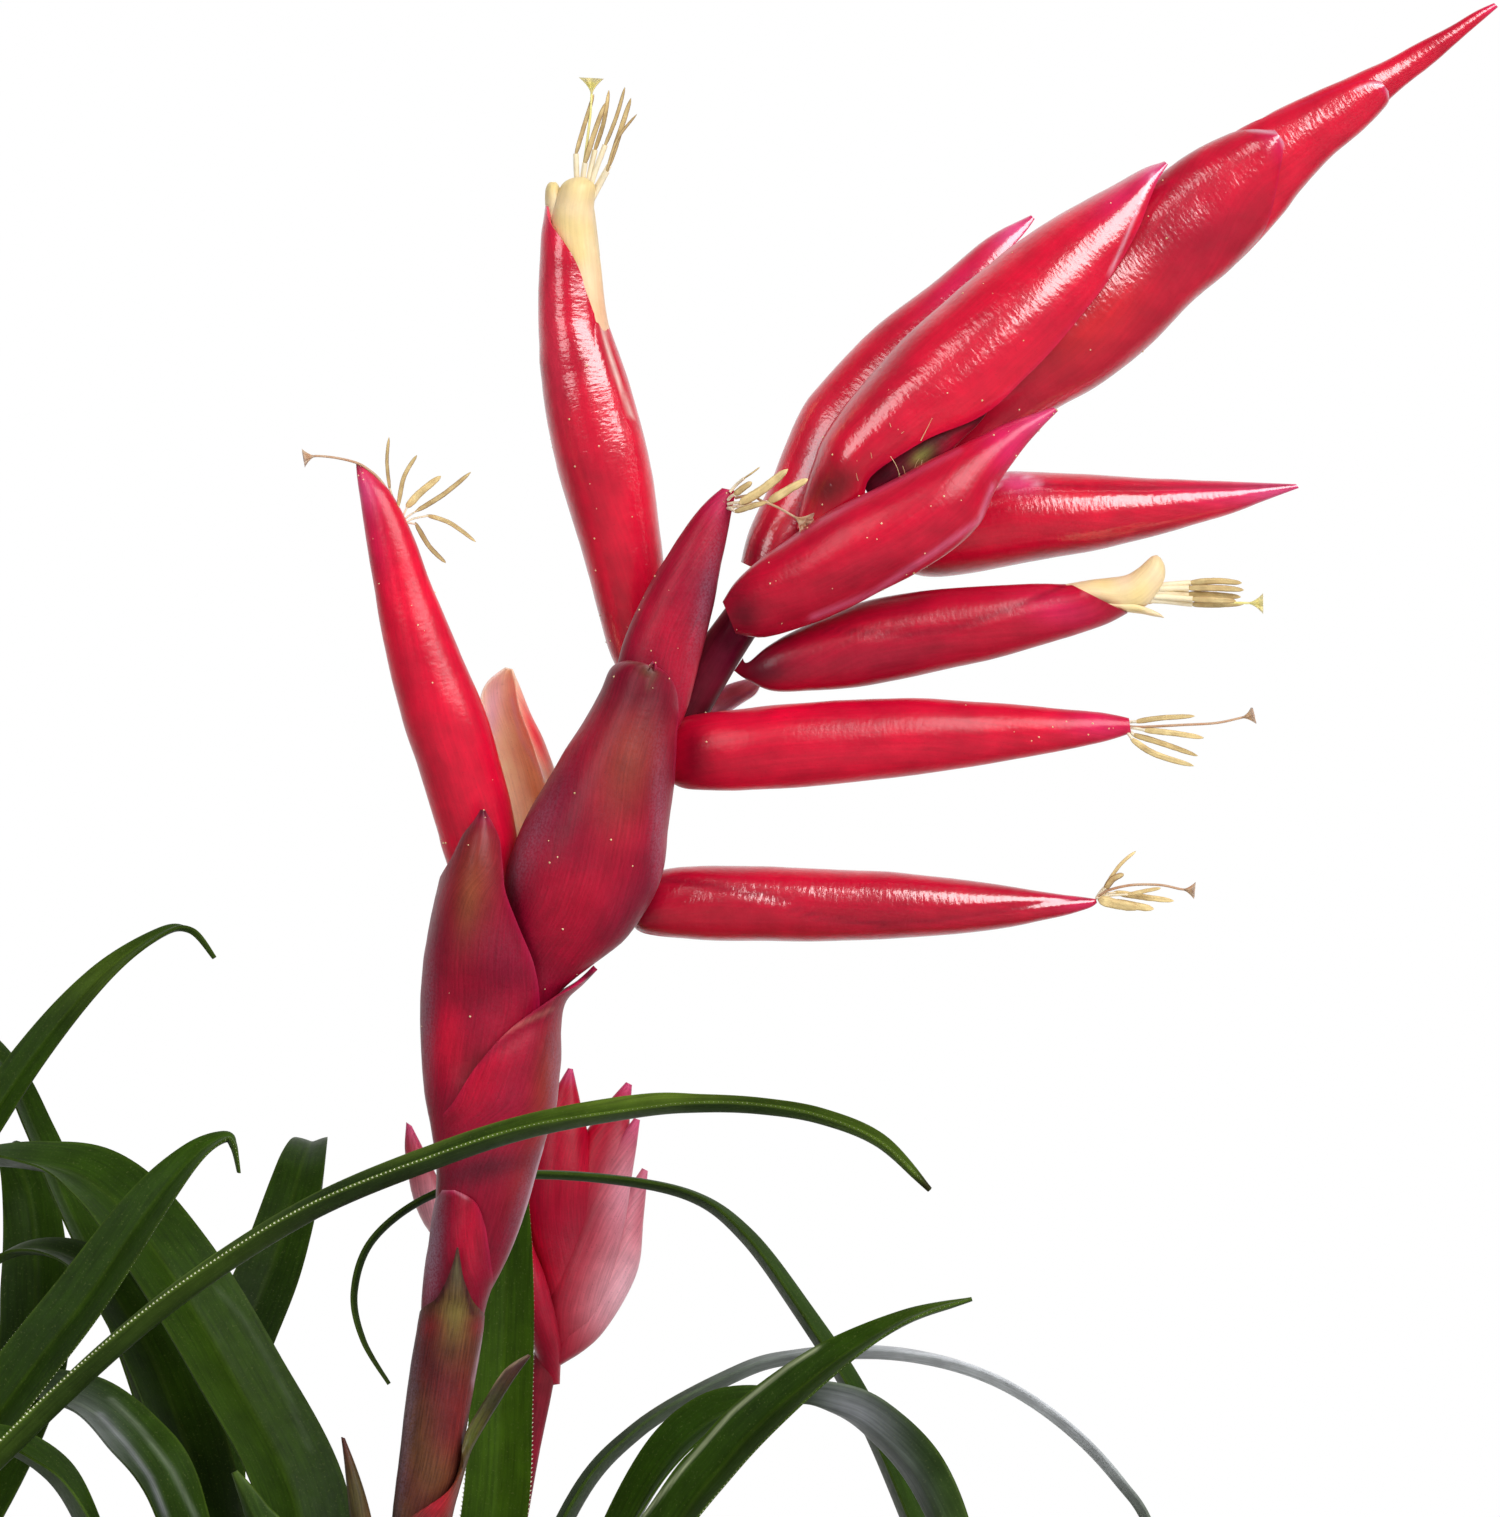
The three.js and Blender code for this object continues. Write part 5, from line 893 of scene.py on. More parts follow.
def shell(name, rows, paint, steps=6, across=37, swell=0.10, crinkle=0.025):
    """A bract: part of an elliptical shell, thin at its margins."""
    *outlines, near, depth, start, end = smooth(rows, steps).T[..., None]
    u = np.linspace(0, 1, across)
    outer, centre = ellipses(*outlines, near, depth, np.radians(start + (end - start) * u))
    normal = normals_of(outer, outer - centre)
    half = half_width(*outlines)
    wall = np.minimum(BRACT_WALL * (0.25 + 0.75 * (1 - np.abs(2 * u - 1) ** 6)), 0.45 * half)
    height = relief(name, outer, normal, swell, crinkle) * np.minimum(half / 1.5, 1)
    outer = outer + normal * height[..., None]
    return sheet_block(outer, outer - normal * wall[..., None], u, paint)


def tube(name, rows, paint, sides=48, mouth=0.0):
    """A flower tube or bud between two outlines. A mouth is that many millimetres deep."""
    fine = smooth(rows, 8)
    *outlines, near = fine[:, :5].T[..., None]
    half = half_width(*outlines)
    depth = fine[:, 5:6] if fine.shape[1] > 5 else half * TUBE_DEPTH
    rings, centre = ellipses(*outlines, near, depth, turns(sides))
    normal = normals_of(rings, rings - centre, closed=True)
    height = relief(name, rings, normal, swell=0.08, crinkle=0.02)
    height = height * np.minimum(np.minimum(half, depth) / 1.2, 1)
    rings = rings + normal * height[..., None]
    if mouth:
        inside = [centre[-1] + (rings[-1] - centre[-1]) * LIP_WIDTH]
        for back, distance in enumerate(walked(centre[::-1, 0])):
            if 0 < distance <= mouth:
                i = len(rings) - 1 - back
                inside.append(centre[i] + (rings[i] - centre[i]) * THROAT_WIDTH)
        rings = np.concatenate([rings, np.array(inside)])
    return round_block(rings, paint)


def frames(points):
    """Two unit directions across a path at each of its points, with no needless twist."""
    along = unit(np.gradient(points, axis=0))
    side = np.array([0.3, 1, 0.2])
    sides = []
    for direction in along:
        side = side - direction * (side @ direction)
        side = side / np.linalg.norm(side)
        sides.append(side)
    sides = np.array(sides)
    return sides, np.cross(along, sides)


def thread(points, radii, paint, sides):
    """A round stem or thread along points in millimetres."""
    radii = np.broadcast_to(radii, len(points))[:, None, None]
    side, other = frames(points)
    angle = turns(sides)[None, :, None]
    rings = points[:, None] + radii * (side[:, None] * np.cos(angle) + other[:, None] * np.sin(angle))
    return round_block(rings, paint)


def small_solids(centres, sizes, axes, corners, faces, paint):
    """Many small solids in one block: corners are given along three axes of each."""
    points = centres[:, None] + sizes[:, None, None] * np.einsum("kc,ncd->nkd", corners, axes)
    joined = [[len(corners) * n + i for i in face] for n in range(len(centres)) for face in faces]
    points = points.reshape(-1, 3)
    nothing = np.zeros(len(points))
    return block(points, joined, nothing, nothing, nothing + 1, np.zeros(points.shape), paint)


def teeth_along(line, outward):
    """A row of tiny pale teeth along the margin of a leaf."""
    steps = walked(line)
    stops = np.arange(TOOTH_SPACING, steps[-1] - 1, TOOTH_SPACING)

    def at(places, values):
        return np.stack([np.interp(places, steps, values[:, k]) for k in range(3)], axis=-1)

    centres = at(stops, line)
    out = unit(at(stops, outward))
    ahead = unit(at(stops + 0.3, line) - centres + 1e-9)
    axes = np.stack([ahead, out, np.cross(ahead, out)], axis=1)
    corners = np.array([[-0.7, -0.2, 0], [0.6, -0.2, 0.5], [0.6, -0.2, -0.5], [0.6, 1.0, 0]])
    faces = [[0, 1, 2], [0, 3, 1], [1, 3, 2], [2, 3, 0]]
    sizes = TOOTH_SIZE * (1 - 0.7 * ease(stops / steps[-1], 0.74, 0.86))
    return small_solids(centres, sizes, axes, corners, faces, plain("teeth", LEAF_PALE, LEAF_PALE))


def grains_on(surface, count, seed):
    """Tiny grains of pollen on random points of a block."""
    draw = random.Random(seed)
    places = [draw.randrange(len(surface["points"])) for _ in range(count)]
    sizes = np.array([GRAIN_SIZE * (0.5 + draw.random()) for _ in range(count)])
    axes = np.repeat(np.eye(3)[None], count, axis=0)
    corners = np.array([[1, 0, 0], [0, 1, 0], [-1, 0, 0], [0, -1, 0], [0, 0, 1], [0, 0, -1]])
    faces = [[0, 1, 4], [1, 2, 4], [2, 3, 4], [3, 0, 4], [1, 0, 5], [2, 1, 5], [3, 2, 5], [0, 3, 5]]
    paint = plain("pollen", PALE_STRAW, CREAM)
    return small_solids(surface["points"][places], sizes, axes, corners, faces, paint)


def strap(rows, paint, steps, across, seed, channel=CHANNEL, toothed=False):
    """The blocks of a strap leaf with a soft V section. Rows: x, y, z, width, heading, roll in degrees."""
    fine = smooth(rows, steps)
    middle = fine[:, :3]
    width = np.maximum(fine[:, 3], LEAF_TIP_WIDTH)
    heading = np.radians(fine[:, 4])
    roll = np.radians(fine[:, 5])[:, None]
    along = unit(np.gradient(middle, axis=0))
    side = np.stack([-np.sin(heading), np.cos(heading), np.zeros(len(fine))], axis=-1)
    side = unit(side - along * (side * along).sum(axis=1, keepdims=True))
    side = side * np.cos(roll) + np.cross(along, side) * np.sin(roll)
    up = np.cross(along, side)
    s = np.linspace(-1, 1, across)
    fold = np.radians(channel)
    reach = (width / 2 * math.cos(fold))[:, None]
    lift = (width / 2 * math.sin(fold))[:, None]
    bend = np.sqrt(s ** 2 + 0.02) - 0.5
    wave = LEAF_WAVE * mottle(middle[:, None] + np.zeros((across, 1)) + s[:, None] * 3, WAVE_SIZE, seed)
    rise = bend * lift + wave * np.minimum(width, 5)[:, None] / 5
    centre = middle[:, None] + side[:, None] * (s * reach)[..., None] + up[:, None] * rise[..., None]
    half_wall = BLADE_WALL / 2 * (0.4 + 0.6 * (1 - np.abs(s) ** 3)) * np.minimum(width / 1.6, 1)[:, None]
    offset = up[:, None] * half_wall[..., None]
    blocks = [sheet_block(centre + offset, centre - offset, (s + 1) / 2, paint)]
    if toothed:
        blocks.append(teeth_along(centre[:, 0], centre[:, 0] - centre[:, 1]))
        blocks.append(teeth_along(centre[:, -1], centre[:, -1] - centre[:, -2]))
    return blocks


def photo_rows(crown, slot, foot, heading, path):
    """Rows of a leaf of the photograph, from its foot in the rosette."""
    crown = CROWNS[crown]
    dx, dy = math.cos(math.radians(foot)), math.sin(math.radians(foot))
    rows = []
    for out, up, wider in ((0, 0, 0), (0.4, FOOT_LENGTH, 0.6)):
        x = crown["x"] + (slot + out) * dx
        y = crown["y"] + (slot + out) * dy
        rows.append([x, y, LEAF_FOOT + up, FOOT_WIDTH + wider, foot, 0])
    turn = (heading - foot + 180) % 360 - 180
    for px, py, near, width, roll in path:
        rows.append([*place(px, py, near), width, foot + turn, roll])
    return rows


def seeded(seed):
    """Repeatable draws between 0 and 1."""
    modulus = 2147483647
    multiplier = 16807
    state = seed * 7919 % modulus
    while True:
        state = state * multiplier % modulus
        yield state / modulus


def low_rows(crown, count, seed, turn, length, rise, droop, width, parts=12):
    """The rows of each low leaf of a rosette, from its sheath to its tip."""
    def between(ends, share):
        return ends[0] + (ends[1] - ends[0]) * share

    draw = seeded(seed)
    for k in range(count):
        age = k / (count - 1)
        azimuth = turn + GOLDEN_ANGLE * k + (next(draw) - 0.5) * DIRECTION_SPREAD
        reach = between(length, age) * between(LENGTH_SHARES, next(draw))
        start = between(rise, age) + (next(draw) - 0.5) * RISE_SPREAD
        end = between(droop, age) + (next(draw) - 0.5) * DROOP_SPREAD
        broad = between(width, age)
        dx, dy = math.cos(math.radians(azimuth)), math.sin(math.radians(azimuth))
        r = crown["core"] + 0.2
        z = LEAF_FOOT + SHEATH_LIFT
        rows = []
        for n in range(parts + 1):
            t = n / parts
            taper = (1 - t ** 2.4) ** 0.75
            wide = max(broad * (0.8 + 0.2 * min(5 * t, 1)) * taper, LEAF_TIP_WIDTH)
            rows.append([crown["x"] + r * dx, crown["y"] + r * dy, z, wide, azimuth, 0])
            elevation = math.radians(start + (end - start) * ((n + 0.5) / parts) ** 1.15)
            r += reach / parts * math.cos(elevation)
            z += reach / parts * math.sin(elevation)
        yield rows


def ring_round(crown, radius, z):
    """A level ring of points round the axis of a rosette."""
    angle = turns(RING_SIDES)
    x = crown["x"] + radius * np.cos(angle)
    y = crown["y"] + radius * np.sin(angle)
    return np.stack([x, y, np.full(RING_SIDES, z)], axis=-1)


def sheath_ring(crown):
    """The short ring in which the sheaths of a rosette's low leaves join."""
    rings = []
    for offset, lift in SHEATH_SECTION:
        radius = crown["core"] + offset + 0.15 * np.sin(9 * turns(RING_SIDES) + lift)
        rings.append(ring_round(crown, radius, LEAF_FOOT + lift))
    return round_block(np.array(rings), plain("sheath_ring", SHEATH_BROWN, LEAF_LIGHT))


def root_disc(crown, paint):
    """The knobbly piece of rootstock below a rosette."""
    angle = turns(RING_SIDES)
    rings = []
    for z in np.linspace(0, ROOTSTOCK_HEIGHT, 12):
        swell = 2.2 + 1.4 * math.sin(math.pi * min(z / 5.6, 1) ** 0.8) - 1.2 * max(z - 5.2, 0) / 1.5
        radius = crown["core"] + swell + 0.25 * np.sin(13 * angle + 2 * z) + 0.2 * np.sin(7 * angle - z)
        rings.append(ring_round(crown, radius, z))
    return round_block(np.array(rings), paint)


def runner(a, b, paint):
    """A bowed runner of the rootstock between two rosettes, flat below."""
    stops = []
    for share, bow, radius in RUNNER_STOPS:
        x = a["x"] + share * (b["x"] - a["x"])
        y = a["y"] + share * (b["y"] - a["y"]) + bow
        stops.append([x, y, RUNNER_LIFT, radius])
    path = smooth(stops, 14)
    made = thread(path[:, :3], path[:, 3], paint, 28)
    made["points"][:, 2] = np.maximum(made["points"][:, 2], 0)
    return made


def bud_hairs(count, seed):
    """Fine pale hairs on the bud. Each starts at a point of its width and height and bows as it rises."""
    left, foot, width, height = 852, 486, 70, 52
    draw = random.Random(seed)
    t = np.array([0, 0.33, 0.67, 1])
    radii = np.linspace(*HAIR_RADII, 10)
    paint = plain("hair", PALE_STRAW, CREAM)
    hairs = []
    for _ in range(count):
        px = left + width * draw.random()
        py = foot - height * draw.random()
        lean = math.radians(40 + 80 * draw.random())
        length = 10 + 16 * draw.random()
        bow = 3 * (draw.random() - 0.5)
        near = 5.4 + 1.4 * t + 1.2 * (px - left) / width
        ahead = t * length * math.cos(lean) + bow * np.sin(np.pi * t)
        stops = place(px + ahead, py - t * length * math.sin(lean), near)
        hairs.append(thread(smooth(stops, 3), radii, paint, 6))
    return hairs


def anther(stops, width, brown, seed):
    """A long flattened anther of two lobes, pale with browner edges."""
    body = smooth(stops, 12)
    t = np.linspace(0, 1, len(body))[:, None]
    side, other = frames(body)
    angle = turns(20)
    radius = width / 2 / PIXELS_PER_MM * np.clip(1 - np.abs(2 * t - 1) ** 5, 0.06, 1) * (1.05 - 0.25 * t)
    lobes = 0.62 * (1 - 0.34 * np.abs(np.cos(angle)) ** 6)
    across = side[:, None] * (lobes * np.cos(angle))[:, None] + other[:, None] * np.sin(angle)[:, None]
    rings = body[:, None] + radius[..., None] * across
    bumps = 0.10 * radius * mottle(rings, 0.35, seed)
    rings = rings + bumps[..., None] * unit(rings - body[:, None])

    def paint(f):
        edge = np.abs(np.sin(2 * np.pi * f.u)) ** 3
        skin = mix(PALE_STRAW, STRAW, 0.5 + 0.9 * mottle(f.points, 0.8, seed))
        skin = mix(skin, STRAW_DARK, brown * (0.35 + 0.65 * edge) + 0.2 * edge)
        return skin, np.zeros(len(f.points))
    return round_block(rings, paint)


def stigma(start, end, size, colour, seed):
    """A ragged, three-lobed funnel at the end of a style."""
    steps = np.linspace(0, 1, 9)[:, None]
    centre = end + unit(end - start) * size * (steps - 0.5) * 1.5
    side, other = frames(centre)
    angle = turns(36)
    ragged = 0.22 * np.cos(3 * angle + seed) + 0.16 * np.sin(7 * angle + 2 * seed) + 0.08 * np.sin(12 * angle)
    radius = (0.10 + (size - 0.10) * steps ** 1.6) * (1 + ragged * steps ** 0.5)
    across = side[:, None] * np.cos(angle)[:, None] + other[:, None] * np.sin(angle)[:, None]
    rings = centre[:, None] + across * radius[..., None]
    cup = centre[6] + (rings[-1] - centre[-1]) * 0.55
    rings = np.concatenate([rings, cup[None]])
    return round_block(rings, plain("stigma", colour, mix(colour, CREAM, 0.4), 0.6))


def stamen_blocks(near, lean, reach, stamens, style, stigma_size, yellow):
    """Filaments, anthers, and the style with its stigma. `lean` brings the ends nearer the viewer."""
    filaments = []
    heads = []
    for i, (foot, path, width, brown) in enumerate(stamens):
        fan = (1 if i % 2 else -1) * STAMEN_FAN * (0.4 + i / len(stamens))
        start = place(*foot, near)
        stops = [place(px, py, near + share * (lean + fan)) for (px, py), share in zip(path, (0.5, 0.8, 1.0))]
        line = smooth([start, (start + stops[0]) / 2 + (0, 0.1, 0.1), stops[0] * 0.9 + stops[1] * 0.1], 6)
        filaments.append(thread(line, reach, plain("filament", FILAMENT, CREAM), 10))
        heads.append(anther(stops, width, brown, i + near))
    stops = [place(px, py, near + lean * (k + 1) / len(style)) for k, (px, py) in enumerate(style)]
    path = smooth(stops, 6)
    colour = YELLOW_STIGMA if yellow else STIGMA
    radii = np.linspace(*STYLE_RADII, len(path))
    styles = [
        thread(path, radii, plain("style", mix(colour, FILAMENT, 0.3), colour, 1), 12),
        stigma(path[-2], path[-1], stigma_size, colour, len(stamens) + near),
    ]
    return filaments, heads, styles


# Materials
def new_node(tree, kind, **settings):
    made = tree.nodes.new(kind)
    for key, value in settings.items():
        setattr(made, key, value)
    return made


def ranged(tree, value, low, high, to_low, to_high, **settings):
    """A value whose range from low to high is mapped to another."""
    made = new_node(tree, "ShaderNodeMapRange", **settings)
    for key, number in zip(("From Min", "From Max", "To Min", "To Max"), (low, high, to_low, to_high)):
        made.inputs[key].default_value = number
    tree.links.new(value, made.inputs["Value"])
    return made.outputs["Result"]


def plant_material(
    name, roughness, waxed, specular, streak, mottling, speckle, crinkle, ridge, fibre=0.30, pores=0.004,
    coat=0.0, coat_roughness=0.22, coat_ior=1.5, gloss_crinkle=0.02, wrinkle=0.02, subsurface=0.0,
    speck=SPECK, wax=WAX,
):
    """Painted colour with veins along the grain, mottling, speckles, and wax with painted sheen, under a
    clear coat.

    `waxed` is the roughness under wax. In millimetres are `fibre`, the width of a vein, the heights of the
    bump `crinkle`, `ridge` and `pores`, and in the coat alone `gloss_crinkle` and `wrinkle`.
    """
    material = bpy.data.materials.new(name)
    material.use_nodes = True
    tree = material.node_tree
    surface = tree.nodes["Principled BSDF"]

    def attribute(label, output):
        return new_node(tree, "ShaderNodeAttribute", attribute_name=label).outputs[output]

    def noise_of(vector, size_mm, detail, rough=0.55):
        made = new_node(tree, "ShaderNodeTexNoise")
        made.inputs["Scale"].default_value = 1 / (size_mm * MM)
        made.inputs["Detail"].default_value = detail
        made.inputs["Roughness"].default_value = rough
        tree.links.new(vector, made.inputs["Vector"])
        return made.outputs["Fac"]

    def grain_scaled(across, along):
        made = new_node(tree, "ShaderNodeMapping")
        made.inputs["Scale"].default_value = (MM * across, MM * along, MM)
        tree.links.new(attribute("grain", "Vector"), made.inputs["Vector"])
        return made.outputs["Vector"]

    def maths(operation, a, b):
        made = new_node(tree, "ShaderNodeMath", operation=operation)
        for socket, value in zip(made.inputs, (a, b)):
            if isinstance(value, (int, float)):
                socket.default_value = value
            else:
                tree.links.new(value, socket)
        return made.outputs[0]

    def weighted(*pairs):
        """The sum of values, each times its weight."""
        total = maths("MULTIPLY", *pairs[0])
        for value, weight in pairs[1:]:
            total = maths("ADD", total, maths("MULTIPLY", value, weight))
        return total

    def varied(colour, value, amount):
        made = new_node(tree, "ShaderNodeVectorMath", operation="SCALE")
        tree.links.new(colour, made.inputs[0])
        tree.links.new(ranged(tree, value, 0.3, 0.7, 1 - amount, 1 + amount), made.inputs["Scale"])
        return made.outputs[0]

    def blended(colour, other, factor):
        made = new_node(tree, "ShaderNodeMix", data_type="RGBA")
        tree.links.new(factor, made.inputs["Factor"])
        tree.links.new(colour, made.inputs["A"])
        made.inputs["B"].default_value = (*other, 1)
        return made.outputs["Result"]

    def bumped(height, normal):
        made = new_node(tree, "ShaderNodeBump")
        made.inputs["Strength"].default_value = 1.0
        made.inputs["Distance"].default_value = MM
        tree.links.new(height, made.inputs["Height"])
        tree.links.new(made.outputs["Normal"], surface.inputs[normal])

    coordinates = new_node(tree, "ShaderNodeTexCoord").outputs["Object"]
    fibres = noise_of(grain_scaled(1, FIBRE_STRETCH), fibre, 3, 0.6)
    wrinkles = noise_of(grain_scaled(WRINKLE_STRETCH, 1), WRINKLE_SIZE, 2, 0.5)
    blotches = noise_of(coordinates, BLOTCH_SIZE, 3)
    crinkles = noise_of(coordinates, CRINKLE_SIZE, 2, 0.5)
    grains = noise_of(coordinates, SPECK_SIZE, 1)

    colour = varied(varied(attribute("skin", "Color"), fibres, streak), blotches, mottling)
    colour = blended(colour, speck, ranged(tree, grains, 0.64, 0.74, 0, speckle))
    # The wax mask also carries painted sheen and a painted highlight, which blend in the wax colour
    wax_and_sheen = maths("MULTIPLY", attribute("wax_and_sheen", "Fac"), ranged(tree, grains, 0.36, 0.62, 0.35, 1.0))
    tree.links.new(blended(colour, wax, wax_and_sheen), surface.inputs["Base Color"])
    rough = ranged(tree, wax_and_sheen, 0, 1, roughness, waxed)
    rough = maths("ADD", rough, ranged(tree, crinkles, 0.3, 0.7, -0.04, 0.06))
    tree.links.new(rough, surface.inputs["Roughness"])
    bumped(weighted((crinkles, crinkle), (fibres, ridge), (grains, pores)), "Normal")
    bumped(weighted((crinkles, gloss_crinkle), (wrinkles, wrinkle)), "Coat Normal")
    for socket, value in (
        ("Specular IOR Level", specular), ("Coat Weight", coat), ("Coat Roughness", coat_roughness),
        ("Coat IOR", coat_ior), ("Subsurface Weight", subsurface), ("Subsurface Scale", MM),
        ("Subsurface Radius", (1.0, 0.8, 0.65)),
    ):
        surface.inputs[socket].default_value = value
    return material


# Painting. A spot is a colour, px, py, the radius across and along, the lean in degrees, and a strength. A
# line is a colour, its points, half its width in pixels, and a strength. A spot of wax and sheen is a spot
# without a colour of its own: wax, which on the rims of the bracts also stands for painted sheen. A crease is
# its points, half its width, and its height in millimetres. Some spots and lines are painted shade, shadow,
# highlight or sheen, as noted where they stand.
SPOTS = {
    # Painted sheen: the backdrop's grey reflection along the arching leaf
    "leaf_right_arch": [(LEAF_SHEEN, 960, 1390, 320, 90, 16, 0.8), (LEAF_SHEEN_PALE, 1010, 1392, 150, 60, 26, 0.85)],
    "leaf_right_twist": [
        # Painted sheen: grey reflections on the twisted face
        (LEAF_SHEEN, 852, 1412, 40, 22, 30, 0.8), (LEAF_SHEEN, 898, 1470, 16, 46, -34, 0.45),
        (srgb(40, 70, 8), 700, 1460, 60, 60, 0, 0.5),
    ],
    "leaf_left_tall": [(LEAF_LIGHT, 110, 970, 60, 30, -30, 0.25)],
    "leaf_upright": [(srgb(62, 90, 12), 505, 1440, 60, 160, 0, 0.7)],
    "leaf_broad_arch": [(srgb(58, 84, 12), 250, 1380, 60, 100, -30, 0.5)],
    # Painted reflection: a patch of grey sheen
    "leaf_low_streaked": [(LEAF_SHEEN, 90, 1440, 26, 46, -30, 0.5)],
    "leaf_front_arch": [
        (LEAF_LIGHT, 640, 1098, 120, 7, -4, 0.5), (LEAF_LIGHT, 440, 1142, 70, 5, -22, 0.35),
        (srgb(40, 20, 16), 928, 1186, 12, 12, 0, 0.8),
    ],
    "stalk_bract_sheath": [
        (srgb(124, 112, 50), 456, 1318, 17, 25, 0, 0.9), (srgb(96, 92, 60), 457, 1268, 10, 26, 0, 0.85),
        (SHEATH_RED, 462, 1420, 26, 70, 8, 0.5), (SHEATH_RED, 428, 1326, 16, 14, 0, 0.6),
        (SHEATH_RED, 480, 1326, 14, 12, 0, 0.6),
    ],
    "stalk_bract_low_right": [
        (srgb(46, 48, 18), 495, 1400, 30, 40, 40, 0.95), (srgb(78, 92, 24), 472, 1436, 8, 26, 20, 0.8),
        (srgb(54, 28, 28), 520, 1362, 16, 16, 0, 0.8),
        (CRIMSON, 438, 1500, 16, 24, 30, 0.8),
    ],
    "stalk_bract_low_left": [(srgb(70, 72, 34), 356, 1500, 16, 60, 0, 0.8)],
    "stalk_bract_left": [(PLUM, 436, 1240, 14, 60, 0, 0.7), (CRIMSON, 468, 1240, 14, 60, 0, 0.6)],
    "stalk_bract_right": [
        (OLIVE, 548, 1075, 14, 60, 8, 0.65), (OLIVE, 530, 1160, 14, 60, 20, 0.35),
        (CRIMSON, 478, 1085, 26, 50, 30, 0.7), (MAROON, 590, 976, 9, 7, -30, 0.9),
        # Painted shadow: the front leaf's shadow across the bract
        (srgb(70, 10, 26), 486, 1168, 60, 14, -14, 0.8),
    ],
    "floral_bract_1": [
        (OLIVE, 474, 880, 22, 56, 8, 0.8), (GOLD, 468, 905, 10, 34, 8, 0.2), (MAROON, 483, 812, 7, 9, 0, 0.9),
        # The deep red spot is painted shade in the crease across the bract
        (DEEP_RED, 470, 1004, 40, 12, -4, 0.65), (SCARLET, 448, 1040, 16, 36, 0, 0.6),
        (OLIVE, 480, 1085, 20, 34, 0, 0.3), (PLUM, 436, 940, 10, 60, 0, 0.35),
    ],
    "floral_bract_2": [
        (OLIVE, 628, 760, 30, 66, 14, 0.75), (PLUM, 652, 850, 12, 60, 6, 0.3),
        (PLUM, 560, 800, 22, 60, 24, 0.2), (CRIMSON, 580, 900, 40, 50, 20, 0.5),
        (srgb(96, 60, 40), 648, 672, 9, 6, 20, 0.9), (PLUM, 640, 700, 30, 22, 10, 0.4),
    ],
    "floral_bract_3": [(SCARLET, 536, 735, 9, 52, -22, 0.95), (LILAC, 492, 710, 10, 44, 6, 0.8)],
    "floral_bract_4": [
        (MAGENTA, 1010, 445, 46, 24, 60, 0.85), (PINK, 1040, 418, 24, 12, -30, 0.6),
        (MAROON, 742, 612, 22, 26, 0, 0.7), (SCARLET, 850, 545, 50, 18, -36, 0.5),
    ],
    "tip_bract_left": [
        (PINK, 1015, 232, 26, 14, -40, 0.9), (MAGENTA, 960, 285, 46, 18, -42, 0.6),
        (MAROON, 752, 560, 16, 28, 20, 0.5),
    ],
    "tip_bract_front": [
        # The dark brown spot is painted shade in the hollow behind the bract's foot
        (srgb(84, 16, 14), 830, 488, 30, 20, -30, 0.85), (PINK, 1155, 170, 18, 10, -40, 0.9),
        (MAGENTA, 1120, 195, 34, 18, -40, 0.7), (SCARLET, 930, 420, 50, 30, -45, 0.5),
    ],
    "tip_bract_right": [
        (srgb(214, 36, 30), 1090, 320, 70, 34, -42, 0.5), (SCARLET, 1230, 190, 40, 20, -40, 0.4),
    ],
    "tip_bract_upper": [(SCARLET, 1320, 130, 50, 20, -40, 0.4)],
    "flower_1_calyx": [
        (PINK, 362, 490, 14, 26, -14, 0.7), (MAROON, 359, 466, 5, 6, 0, 0.7),
        (MAGENTA, 372, 540, 14, 40, -14, 0.4),
    ],
    "flower_2_calyx": [(MAROON, 640, 900, 16, 30, 0, 0.6), (MAGENTA, 1080, 902, 30, 12, 8, 0.6)],
    "flower_3_calyx": [
        (MAGENTA, 722, 500, 16, 22, 20, 0.5), (PLUM, 600, 880, 26, 40, 10, 0.5),
    ],
    "flower_4_calyx": [(MAGENTA, 1100, 724, 36, 14, 6, 0.7), (MAROON, 696, 752, 14, 30, 0, 0.6)],
    # The second spot is painted light on the left side, partly a thinner, translucent sepal
    "flower_5_calyx": [(MAGENTA, 548, 215, 14, 24, 0, 0.4), (srgb(240, 62, 90), 548, 320, 13, 120, -6, 0.5)],
    "petals": [(srgb(240, 178, 150), 604, 316, 14, 44, 0, 0.6)],
    "flower_6_calyx": [
        # The plum spot is painted shade where the bracts above shade the tube
        (MAROON, 760, 668, 30, 24, 0, 0.85), (PLUM, 860, 660, 100, 26, -4, 0.4),
        (MAGENTA, 1060, 610, 40, 16, 10, 0.5),
    ],
    "flower_7_calyx": [
        (PINK, 1018, 482, 22, 10, 10, 0.8), (PINK, 1272, 491, 44, 14, 2, 0.7),
        (MAGENTA, 1210, 494, 50, 14, 4, 0.5), (DEEP_RED, 880, 560, 60, 14, -10, 0.4),
    ],
    "flower_stalk": [
        (srgb(112, 8, 44), 735, 640, 26, 60, 26, 0.95), (OLIVE, 768, 644, 18, 8, -16, 0.5),
        (srgb(120, 24, 44), 455, 1420, 40, 160, 0, 0.6),
    ],
    "young": [
        (YOUNG_PALE, 630, 1290, 36, 60, 20, 0.8), (YOUNG_PALE, 440, 1230, 26, 60, -20, 0.6),
        (YOUNG_PINK, 628, 1190, 22, 50, 10, 0.7), (YOUNG_PINK, 470, 1290, 26, 30, 0, 0.5),
        (DEEP_RED, 545, 1350, 30, 26, 0, 0.6),
    ],
    "flower_bud": [(srgb(126, 124, 60), 922, 455, 13, 6, -36, 0.9), (CRIMSON, 960, 440, 22, 14, -36, 0.6)],
}
